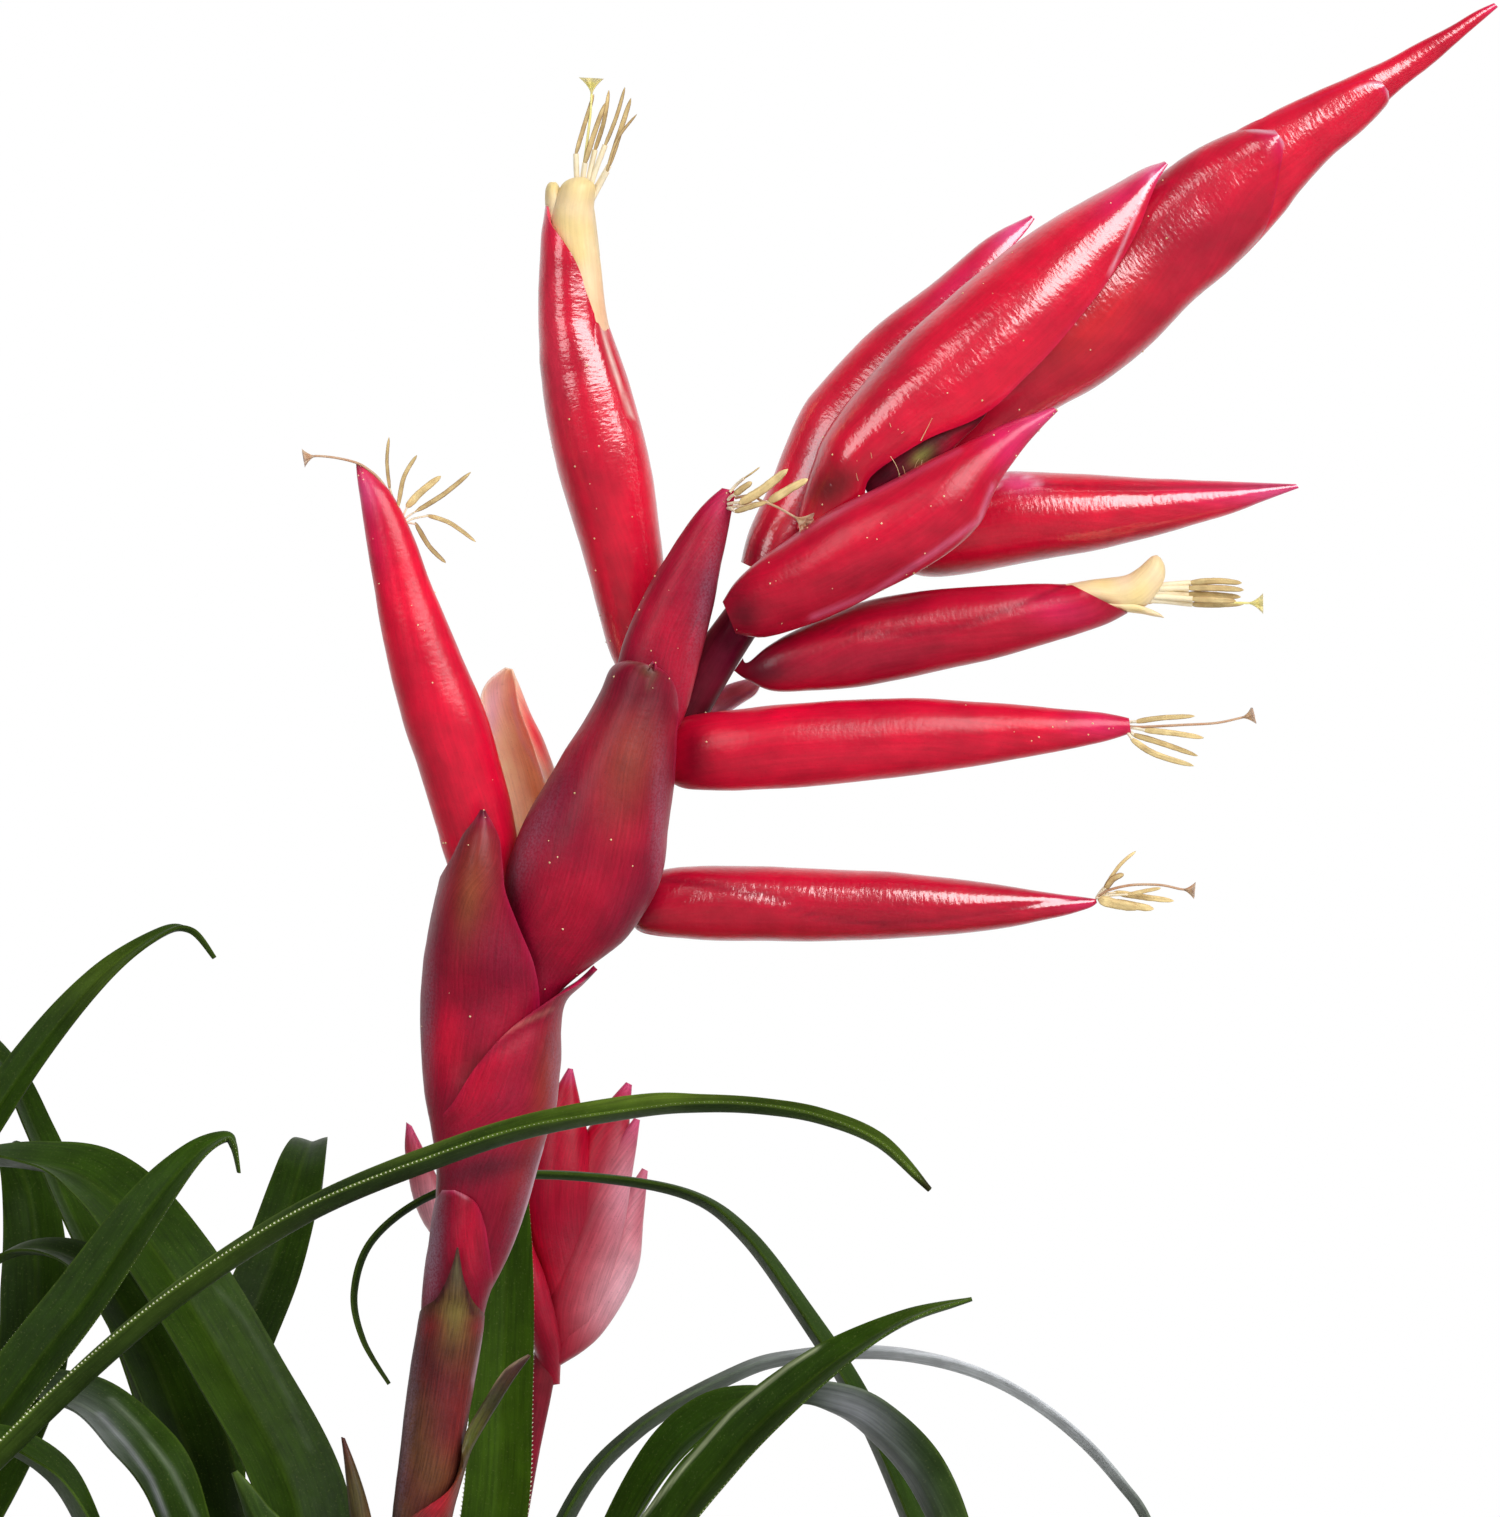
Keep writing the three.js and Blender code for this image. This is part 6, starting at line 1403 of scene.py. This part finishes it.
LINES = {
    "leaf_right_blade": [
        # A pale line on the blade's upper margin: partly its paler margin, partly painted sheen
        (
            srgb(176, 184, 146),
            [(640, 1520), (690, 1460), (732, 1412), (765, 1385), (790, 1365), (820, 1347)], 1.8, 0.6,
        ),
    ],
    "leaf_low_streaked": [
        # Painted reflection: streaks of grey sheen along the leaf
        (LEAF_SHEEN, [(62, 1410), (82, 1440), (107, 1477), (124, 1517)], 4, 0.6),
        (LEAF_SHEEN, [(100, 1415), (126, 1444), (150, 1477), (166, 1517)], 3, 0.5),
        (LEAF_GREY, [(112, 1400), (140, 1428), (172, 1470), (196, 1517)], 3, 0.5),
    ],
    "leaf_broad_arch": [
        (LEAF_GREY, [(218, 1290), (240, 1314), (262, 1348), (290, 1400), (310, 1450)], 3, 0.15),
    ],
    "leaf_front_arch": [
        (
            FURROW, [(0, 1472), (42, 1426), (110, 1366), (185, 1300), (260, 1254), (380, 1187), (530, 1133)],
            5, 0.6,
        ),
        (FURROW, [(530, 1133), (600, 1122), (640, 1116)], 4, 0.5),
    ],
    "stalk_bract_low_right": [
        (srgb(170, 150, 120), [(466, 1424), (484, 1396), (505, 1369), (527, 1355)], 1.6, 0.6),
    ],
    "stalk_bract_sheath": [
        (MAROON, [(437, 1301), (448, 1280), (457, 1247), (465, 1282), (472, 1313)], 3, 0.7),
        # Painted rim sheen along the right margin
        (LILAC, [(486, 1326), (480, 1350), (473, 1384)], 1.4, 0.5),
    ],
    "stalk_bract_left": [(LILAC, [(435, 1192), (452, 1188), (466, 1198)], 2, 0.25)],
    "stalk_bract_right": [
        # Painted highlight on the fold's ridge, partly paler wax, and painted shade in the groove beside it
        (SALMON, [(459, 1081), (478, 1053), (498, 1036), (516, 1026), (552, 1010)], 2.5, 0.15),
        (DEEP_RED, [(478, 1060), (530, 1024), (553, 1012)], 5, 0.6),
        # Painted rim sheen along the right margin
        (LILAC, [(543, 1150), (520, 1230), (505, 1270), (487, 1322)], 1.6, 0.6),
    ],
    # Painted rim sheen along the right margin of floral_bract_1
    "floral_bract_1": [(LILAC, [(506, 874), (524, 924), (549, 1000)], 1.6, 0.7)],
    "floral_bract_2": [(srgb(104, 58, 48), [(626, 660), (642, 664), (655, 674), (648, 688)], 3, 0.7)],
    "floral_bract_3": [(LILAC, [(512, 699), (520, 737), (544, 777)], 2, 0.5)],
    "floral_bract_4": [
        (srgb(226, 120, 160), [(811, 618), (873, 593), (935, 552), (979, 521), (993, 486)], 3, 0.5),
        (srgb(210, 90, 130), [(780, 546), (858, 500), (920, 470), (960, 450)], 3, 0.35),
    ],
    "tip_bract_front": [(LILAC, [(1153, 173), (1135, 216), (1122, 247), (1110, 272)], 1.6, 0.5)],
    "tip_bract_right": [(LILAC, [(1250, 130), (1278, 133), (1286, 150)], 1.8, 0.5)],
    "tip_bract_upper": [(LILAC, [(1355, 90), (1372, 83), (1386, 84), (1389, 96)], 1.8, 0.5)],
    "flower_2_calyx": [
        # Painted shade along the seams of the sepals, in their creases
        (
            DEEP_RED, [(662, 879), (708, 885), (750, 893), (787, 902), (807, 913), (837, 920), (882, 924)], 3,
            0.6,
        ),
        (DEEP_RED, [(882, 924), (940, 920), (1002, 911), (1089, 899)], 2.5, 0.5),
    ],
    "flower_5_calyx": [
        (srgb(255, 224, 214), [(602, 325), (607, 345), (615, 372), (624, 396), (631, 416)], 2.0, 0.8),
    ],
    "flower_6_calyx": [
        # Painted shade along the seam of the sepals, in its crease
        (
            DEEP_RED, [(822, 630), (863, 632), (899, 635), (950, 630), (988, 617), (1026, 602), (1064, 586)],
            2.5, 0.6,
        ),
    ],
    "flower_7_calyx": [
        (LILAC, [(996, 487), (1011, 467), (1040, 485)], 2.0, 0.6),
        # Painted shade along the seam, in its crease
        (DEEP_RED, [(1044, 486), (1120, 488), (1200, 487), (1290, 486)], 2.5, 0.6),
    ],
}
# Wax on the rims of the bracts, which also stands for painted rim sheen, and on tip_bract_left a painted
# highlight
WAX_AND_SHEEN = {
    "stalk_bract_sheath": [(408, 1400, 7, 120, 6, 0.4), (480, 1400, 5, 120, 6, 0.2)],
    "stalk_bract_left": [(430, 1250, 10, 60, 4, 0.6)],
    "stalk_bract_right": [(556, 1080, 8, 60, 0, 0.25), (528, 1190, 8, 60, 20, 0.25)],
    "floral_bract_1": [(426, 1000, 8, 110, 0, 0.25)],
    "floral_bract_2": [(530, 840, 14, 80, 26, 0.18), (660, 830, 8, 80, 0, 0.25)],
    "flower_3_calyx": [(608, 650, 10, 120, 14, 0.2), (705, 600, 8, 80, 12, 0.2)],
    # A painted highlight, pale and crinkled, laid on as wax
    "tip_bract_left": [(808, 478, 10, 50, 16, 0.4)],
}
CREASES = {
    "stalk_bract_right": [
        ([(459, 1081), (478, 1053), (498, 1036), (516, 1026)], 7, 0.16),
        ([(478, 1060), (530, 1026), (560, 1014)], 10, -0.20),
    ],
    "floral_bract_1": [([(430, 1006), (480, 1002), (530, 1000)], 26, -0.35)],
    "floral_bract_2": [([(630, 660), (653, 674), (644, 690)], 6, 0.15)],
    "flower_2_calyx": [
        ([(662, 877), (708, 883), (750, 891), (787, 900), (807, 911), (837, 918), (882, 922)], 4, -0.22),
        ([(882, 922), (940, 918), (1002, 909), (1089, 897)], 4, -0.14),
        ([(700, 900), (760, 905), (830, 927)], 6, 0.10),
    ],
    "flower_6_calyx": [
        ([(822, 630), (863, 632), (899, 635), (950, 630), (988, 617), (1026, 602), (1064, 584)], 4, -0.14),
    ],
    "flower_7_calyx": [
        ([(1044, 484), (1120, 486), (1200, 485), (1290, 485)], 3.5, -0.14),
        ([(996, 489), (1011, 469), (1040, 487)], 5, 0.14),
    ],
    "flower_5_calyx": [([(602, 320), (607, 345), (615, 372), (624, 396), (631, 416)], 3, -0.18)],
}

# How much darker the red of a piece is painted, partly its own deeper red and partly painted shade where it
# lies in shade, and the pale colours of the bracts that show their inner faces
DEEPER_RED_AND_SHADE = {
    "floral_bract_4": 0.35, "flower_6_calyx": 0.45, "flower_2_calyx": 0.3, "flower_4_calyx": 0.1,
    "tip_bract_right": 0.3,
}
INNER_FACES = {"floral_bract_3": SALMON, "floral_bract_small": LILAC}


def spot(f, px, py, across, tall, lean):
    """A soft spot of the photograph, `across` and `tall` pixels in radius, turned by `lean` degrees."""
    a = math.radians(lean)
    x = (f.px - px) * math.cos(a) + (f.py - py) * math.sin(a)
    y = (f.py - py) * math.cos(a) - (f.px - px) * math.sin(a)
    return np.exp(-((x / across) ** 2) - (y / tall) ** 2)


def margin_of(f):
    """1 at the two margins of a piece, and 0 away from them."""
    return 1 - ease(np.minimum(f.u, 1 - f.u), 0.0, MARGIN_SHARE)


def wax_and_sheen_of(name, f):
    """Extra wax, and painted sheen and highlight, where the piece has them listed."""
    wax_and_sheen = np.zeros(len(f.points))
    for *where, strength in WAX_AND_SHEEN.get(name, []):
        wax_and_sheen += strength * spot(f, *where)
    return wax_and_sheen


def touched_up(name, f, skin):
    """The spots and lines of a piece, on both its faces."""
    for colour, *where, strength in SPOTS.get(name, []):
        skin = mix(skin, colour, strength * spot(f, *where))
    for colour, line, width, strength in LINES.get(name, []):
        distance, _ = line_distance(f.px, f.py, line)
        skin = mix(skin, colour, strength * np.exp(-((distance / width) ** 2)))
    return skin


def red(name, base=CRIMSON, other=SCARLET, tip=MAGENTA, tip_from=0.86, wax=0.004, shell_edge=0.0):
    """Crimson with brighter and darker patches, a pinker margin and a pinker tip."""
    def paint(f):
        skin = mix(base, other, 0.5 + 0.7 * mottle(f.points, RED_PATCHES))
        skin = mix(skin, DEEP_RED, 0.2 * ease(mottle(f.points, DARK_PATCHES, 2.2), 0.0, 0.6))
        # Darker red, partly painted shade
        skin = mix(skin, DEEP_RED, DEEPER_RED_AND_SHADE.get(name, 0.0))
        skin = mix(skin, MAGENTA, shell_edge * margin_of(f))
        skin = mix(skin, tip, 0.8 * ease(f.v, tip_from, 1.0))
        if name in INNER_FACES:
            skin = mix(INNER_FACES[name], DEEP_RED, 0.03 + 0.06 * mottle(f.points, 3))
        skin = touched_up(name, f, skin)
        wax_and_sheen = wax * (0.5 + 0.8 * mottle(f.points, WAX_PATCHES, 9.1)).clip(0, 1) + wax_and_sheen_of(name, f)
        return skin, wax_and_sheen
    return paint


def green(name, light=LEAF_MID, margin=0.15):
    """Dark green with a slightly paler margin and keel, and a lighter, browner foot."""
    def paint(f):
        skin = mix(LEAF_DARK, light, 0.5 + 0.6 * mottle(f.points, LEAF_PATCHES))
        skin = mix(skin, LEAF_LIGHT, margin * margin_of(f))
        skin = mix(skin, LEAF_LIGHT, 0.08 * (1 - ease(np.abs(f.u - 0.5), 0.0, KEEL_SHARE)))
        skin = mix(skin, LEAF_LIGHT, 0.2 * ease(f.v, 0.82, 1.0))
        foot = mix(LEAF_LIGHT, SHEATH_BROWN, 0.35 + 0.4 * mottle(f.points, FOOT_PATCHES))
        skin = mix(skin, foot, 0.6 * (1 - ease(f.points[:, 2], 8, 55)))
        skin = mix(skin, LEAF_GREY, np.where(f.side < 0, 0.04, 0.0))
        skin = touched_up(name, f, skin)
        wax_and_sheen = 0.02 * (0.6 + 0.5 * mottle(f.points, LEAF_WAX_PATCHES, 4)).clip(0, 1)
        return skin, wax_and_sheen
    return paint


def plain(name, colour, other, patch=3.0, wax=0.0):
    """One colour that wanders towards another, in patches of about `patch` millimetres."""
    def paint(f):
        skin = mix(colour, other, 0.5 + 0.8 * mottle(f.points, patch))
        return touched_up(name, f, skin), wax + wax_and_sheen_of(name, f)
    return paint


# Materials of the plant
leaf_skin = plant_material(
    "leaf_skin", roughness=0.40, waxed=0.6, specular=0.08, streak=0.24, mottling=0.16, speckle=0.10,
    crinkle=0.010, ridge=0.010, fibre=0.34, pores=0.001, speck=srgb(150, 160, 90), wax=LEAF_GREY,
)
bract_skin = plant_material(
    "bract_skin", roughness=0.34, waxed=0.5, specular=0.16, streak=0.08, mottling=0.12, speckle=0.14,
    crinkle=0.03, ridge=0.012, coat=0.95, coat_roughness=0.19, coat_ior=2.1, gloss_crinkle=0.035,
    wrinkle=0.04, fibre=0.4,
)
soft_skin = plant_material(
    "soft_skin", roughness=0.36, waxed=0.5, specular=0.14, streak=0.10, mottling=0.12, speckle=0.14,
    crinkle=0.03, ridge=0.014, coat=0.50, coat_roughness=0.30, coat_ior=1.65, gloss_crinkle=0.03,
    wrinkle=0.03, fibre=0.4,
)
backlit_skin = plant_material(
    "backlit_skin", roughness=0.4, waxed=0.6, specular=0.2, streak=0.10, mottling=0.08, speckle=0.14,
    crinkle=0.04, ridge=0.03, coat=0.1, subsurface=0.85, wax=LILAC,
)
satin_skin = plant_material(
    "satin_skin", roughness=0.42, waxed=0.6, specular=0.12, streak=0.18, mottling=0.12, speckle=0.24,
    crinkle=0.04, ridge=0.03, coat=0.30, coat_roughness=0.34, fibre=0.24,
)
stalk_skin = plant_material(
    "stalk_skin", roughness=0.42, waxed=0.6, specular=0.1, streak=0.16, mottling=0.2, speckle=0.3,
    crinkle=0.03, ridge=0.02, coat=0.05,
)
sheath_skin = plant_material(
    "sheath_skin", roughness=0.45, waxed=0.65, specular=0.16, streak=0.42, mottling=0.18, speckle=0.3,
    crinkle=0.03, ridge=0.05, coat=0.15, fibre=0.19,
)
petal_skin = plant_material(
    "petal_skin", roughness=0.42, waxed=0.6, specular=0.4, streak=0.07, mottling=0.06, speckle=0.1,
    crinkle=0.03, ridge=0.02, coat=0.05, subsurface=0.25, speck=srgb(200, 150, 70), wax=CREAM,
)
stamen_skin = plant_material(
    "stamen_skin", roughness=0.6, waxed=0.75, specular=0.3, streak=0.16, mottling=0.2, speckle=0.35,
    crinkle=0.05, ridge=0.02, pores=0.02, speck=srgb(240, 220, 160), wax=CREAM,
)
bud_skin = plant_material(
    "bud_skin", roughness=0.4, waxed=0.6, specular=0.3, streak=0.2, mottling=0.25, speckle=0.3,
    crinkle=0.04, ridge=0.03, coat=0.1,
)
root_skin = plant_material(
    "root_skin", roughness=0.85, waxed=0.9, specular=0.2, streak=0.35, mottling=0.3, speckle=0.4,
    crinkle=0.3, ridge=0.12, fibre=0.5, pores=0.06, speck=srgb(150, 120, 84),
)

# Leaves
for leaf_name, leaf in LEAVES.items():
    if leaf_name == FRONT_LEAF:
        paint = green(leaf_name, LEAF_FRESH, margin=0.35)
        channel = FRONT_CHANNEL
    else:
        paint = green(leaf_name)
        channel = CHANNEL
    toothed = leaf_name in TOOTHED
    blocks = strap(photo_rows(**leaf), paint, 12, 31, len(leaf_name), channel, toothed)
    make_piece(f"{leaf_name}_blade", blocks, leaf_skin, "leaf_green", leaf_name)

for crown, ranges in LOW_LEAVES.items():
    blocks = []
    for k, rows in enumerate(low_rows(CROWNS[crown], **ranges)):
        blocks += strap(rows, green("low", margin=0.12), 3, 9, seed=k)
    blocks.append(sheath_ring(CROWNS[crown]))
    make_piece(f"low_leaves_{crown}_blades", blocks, leaf_skin, "leaf_green", f"low_leaves_{crown}")

# Stalk and bracts: which red pieces are satin and which softly glossy, and how many grains of pollen lie
# on a piece
SATIN = ("stalk_bract_left", "stalk_bract_right", "floral_bract_1", "floral_bract_2", "flower_3_calyx")
SOFT = ("flower_1_calyx", "flower_4_calyx", "flower_6_calyx", "floral_bract_4")
POLLEN = {
    "floral_bract_1": 20, "floral_bract_2": 40, "floral_bract_4": 70, "tip_bract_front": 44,
    "tip_bract_right": 30, "flower_1_calyx": 34, "flower_3_calyx": 40, "flower_4_calyx": 26,
    "flower_5_calyx": 60,
}


def red_skin(name):
    """The material of a red piece: lit from behind, satin, softly glossy or glossy."""
    if name in INNER_FACES:
        return backlit_skin
    if name in SATIN:
        return satin_skin
    return soft_skin if name in SOFT else bract_skin


def red_paint(name, shell_edge=0.0):
    """The paint of a red piece. A satin one is darker and more waxed."""
    if name in SATIN:
        brighter = mix(WINE, CRIMSON, 0.9 if name == "flower_3_calyx" else 0.5)
        return red(name, WINE, brighter, wax=0.035, shell_edge=shell_edge)
    return red(name, shell_edge=shell_edge)


stem = smooth(STALK, 5)
paint = plain("flower_stalk", srgb(120, 40, 44), MAROON, 6)
blocks = [thread(place(*stem[:, :3].T), stem[:, 3], paint, 24)]
make_piece("flower_stalk_stem", blocks, stalk_skin, "stalk_red", "flower_stalk")

for bract_name, rows in BRACTS.items():
    if bract_name in SHEATHS:
        paint = plain(bract_name, SHEATH_BROWN, mix(SHEATH_BROWN, SHEATH_GREEN, 0.4), 5, wax=0.03)
        look = (sheath_skin, "sheath_brown")
    else:
        paint = red_paint(bract_name, shell_edge=0.25)
        look = (red_skin(bract_name), "bract_red")
    blocks = [shell(bract_name, rows, paint)]
    if bract_name in POLLEN:
        blocks.append(grains_on(blocks[0], POLLEN[bract_name], seed=len(bract_name)))
    make_piece(f"{bract_name}_shell", blocks, *look, bract_name)

# Flowers, the closed bract at the spike's tip and the bud
for tube_name, rows in CALYXES.items():
    paint = red_paint(tube_name)
    blocks = [tube(tube_name, rows, paint, mouth=0 if tube_name == CLOSED_FLOWER else MOUTH_DEPTH)]
    if tube_name in SEPALS:
        blocks.append(shell(tube_name, SEPALS[tube_name], paint, across=41, swell=0.05))
    if tube_name in POLLEN:
        blocks.append(grains_on(blocks[0], POLLEN[tube_name], seed=POLLEN[tube_name]))
    make_piece(f"{tube_name}_tube", blocks, red_skin(tube_name), "bract_red", tube_name)

blocks = [tube("tip_bract_end", TIP_END, red("tip_bract_end"))]
make_piece("tip_bract_end_tip", blocks, bract_skin, "bract_red", "tip_bract_end")

blocks = [tube("flower_bud", BUD, plain("flower_bud", MAROON, srgb(112, 14, 40), 2))]
blocks += bud_hairs(BUD_HAIRS, seed=5)
make_piece("flower_bud_bud", blocks, bud_skin, "bud_olive", "flower_bud")

paint = plain("petals", PETAL, PALE_YELLOW, 2.5)
for petals_name, lobes in PETALS.items():
    blocks = [shell("petal", rows, paint, steps=8, across=25, swell=0.05, crinkle=0.01) for rows in lobes]
    make_piece(f"{petals_name}_lobes", blocks, petal_skin, "petal_cream", petals_name)

for flower, spec in STAMENS.items():
    filaments, heads, styles = stamen_blocks(**spec)
    node_name = f"{flower}_stamens"
    make_piece(f"{flower}_filaments", filaments, petal_skin, "petal_cream", node_name)
    make_piece(f"{flower}_anthers", heads, stamen_skin, "anther_straw", node_name)
    make_piece(f"{flower}_style", styles, petal_skin, "petal_cream", node_name)

# The younger spike
stem = smooth(YOUNG_STALK, 4)
paint = plain("young_stalk", srgb(156, 24, 52), srgb(112, 34, 42), 5)
blocks = [thread(stem[:, :3], stem[:, 3], paint, 16)]
make_piece("young_stalk_stem", blocks, stalk_skin, "stalk_red", "young_stalk")

paint = red("young", srgb(168, 2, 44), CRIMSON, PINK, 0.8, wax=0.05)
blocks = [tube("young", rows, paint, sides=28) for rows in YOUNG_BRACTS]
make_piece("young_head_bracts", blocks, satin_skin, "bract_red", "young_head")

# Rootstock
paint = plain("rootstock", BARK, BARK_DARK, 2)
blocks = [root_disc(crown, paint) for crown in CROWNS.values()]
blocks += [runner(CROWNS["main"], CROWNS[side], paint) for side in ("left", "right", "back")]
make_piece("rootstock_wood", blocks, root_skin, "rootstock_brown", "rootstock")

# Camera: its frame is the photograph's
camera = add_object("camera", bpy.data.cameras.new("camera"))
bpy.context.scene.camera = camera
camera.location = (EYE_X * MM, -VIEW_DISTANCE * MM, EYE_Z * MM)
camera.rotation_euler = (math.radians(90), 0, 0)
camera.data.sensor_width = SENSOR
camera.data.lens = SENSOR * VIEW_DISTANCE / (max(FRAME_SIZE) / PIXELS_PER_MM)
camera.data.clip_start = 0.01
camera.data.clip_end = 100


# Light, in metres and watts
HEAD_CENTRE = (0.05, 0, 0.19)


def area_light(name, place_m, size, watts, mirrored=True):
    """A rectangular light on the flowering head. One that isn't mirrored gives no highlights of its own."""
    light = bpy.data.lights.new(name, "AREA")
    light.shape = "RECTANGLE"
    light.size, light.size_y = size
    light.energy = watts
    lamp = add_object(name, light)
    lamp.location = place_m
    lamp.rotation_euler = (Vector(HEAD_CENTRE) - Vector(place_m)).to_track_quat("-Z", "Y").to_euler()
    lamp.visible_glossy = mirrored


area_light("key_light", (0.54, -0.79, 0.78), (1.05, 0.75), 14.5)
area_light("top_light", (-0.10, 0.25, 1.10), (0.8, 0.5), 2.0, mirrored=False)
area_light("left_light", (-0.58, -0.78, 0.60), (0.45, 0.7), 2.6)

# The surroundings are a bright backdrop behind the plant and a dim room in front of it. The camera sees
# them as plain white.
world = bpy.data.worlds.new("studio")
bpy.context.scene.world = world
world.use_nodes = True
tree = world.node_tree
background = tree.nodes["Background"]
background.inputs["Color"].default_value = (1, 1, 1, 1)
direction = new_node(tree, "ShaderNodeSeparateXYZ")
tree.links.new(new_node(tree, "ShaderNodeTexCoord").outputs["Generated"], direction.inputs[0])
glow = ranged(tree, direction.outputs["Y"], 0.0, 0.95, 0.05, 0.9, interpolation_type="SMOOTHSTEP")
tree.links.new(glow, background.inputs["Strength"])
seen = new_node(tree, "ShaderNodeBackground")
seen.inputs["Color"].default_value = (1, 1, 1, 1)
seen.inputs["Strength"].default_value = 1.0
either = new_node(tree, "ShaderNodeMixShader")
tree.links.new(new_node(tree, "ShaderNodeLightPath").outputs["Is Camera Ray"], either.inputs["Fac"])
tree.links.new(background.outputs[0], either.inputs[1])
tree.links.new(seen.outputs[0], either.inputs[2])
tree.links.new(either.outputs[0], tree.nodes["World Output"].inputs["Surface"])

# Floor: a pale disc that ends before the photograph's frame would show it
floor_mesh = bpy.data.meshes.new("floor")
disc = bmesh.new()
bmesh.ops.create_circle(disc, cap_ends=True, segments=128, radius=FLOOR_RADIUS * MM)
disc.to_mesh(floor_mesh)
disc.free()
floor_paint = bpy.data.materials.new("floor_paint")
floor_paint.use_nodes = True
floor_surface = floor_paint.node_tree.nodes["Principled BSDF"]
floor_surface.inputs["Base Color"].default_value = (0.86, 0.86, 0.86, 1)
floor_surface.inputs["Roughness"].default_value = 0.9
floor_mesh.materials.append(floor_paint)
floor = add_object("floor", floor_mesh)
floor.visible_glossy = False

bpy.context.scene.view_settings.view_transform = "Standard"
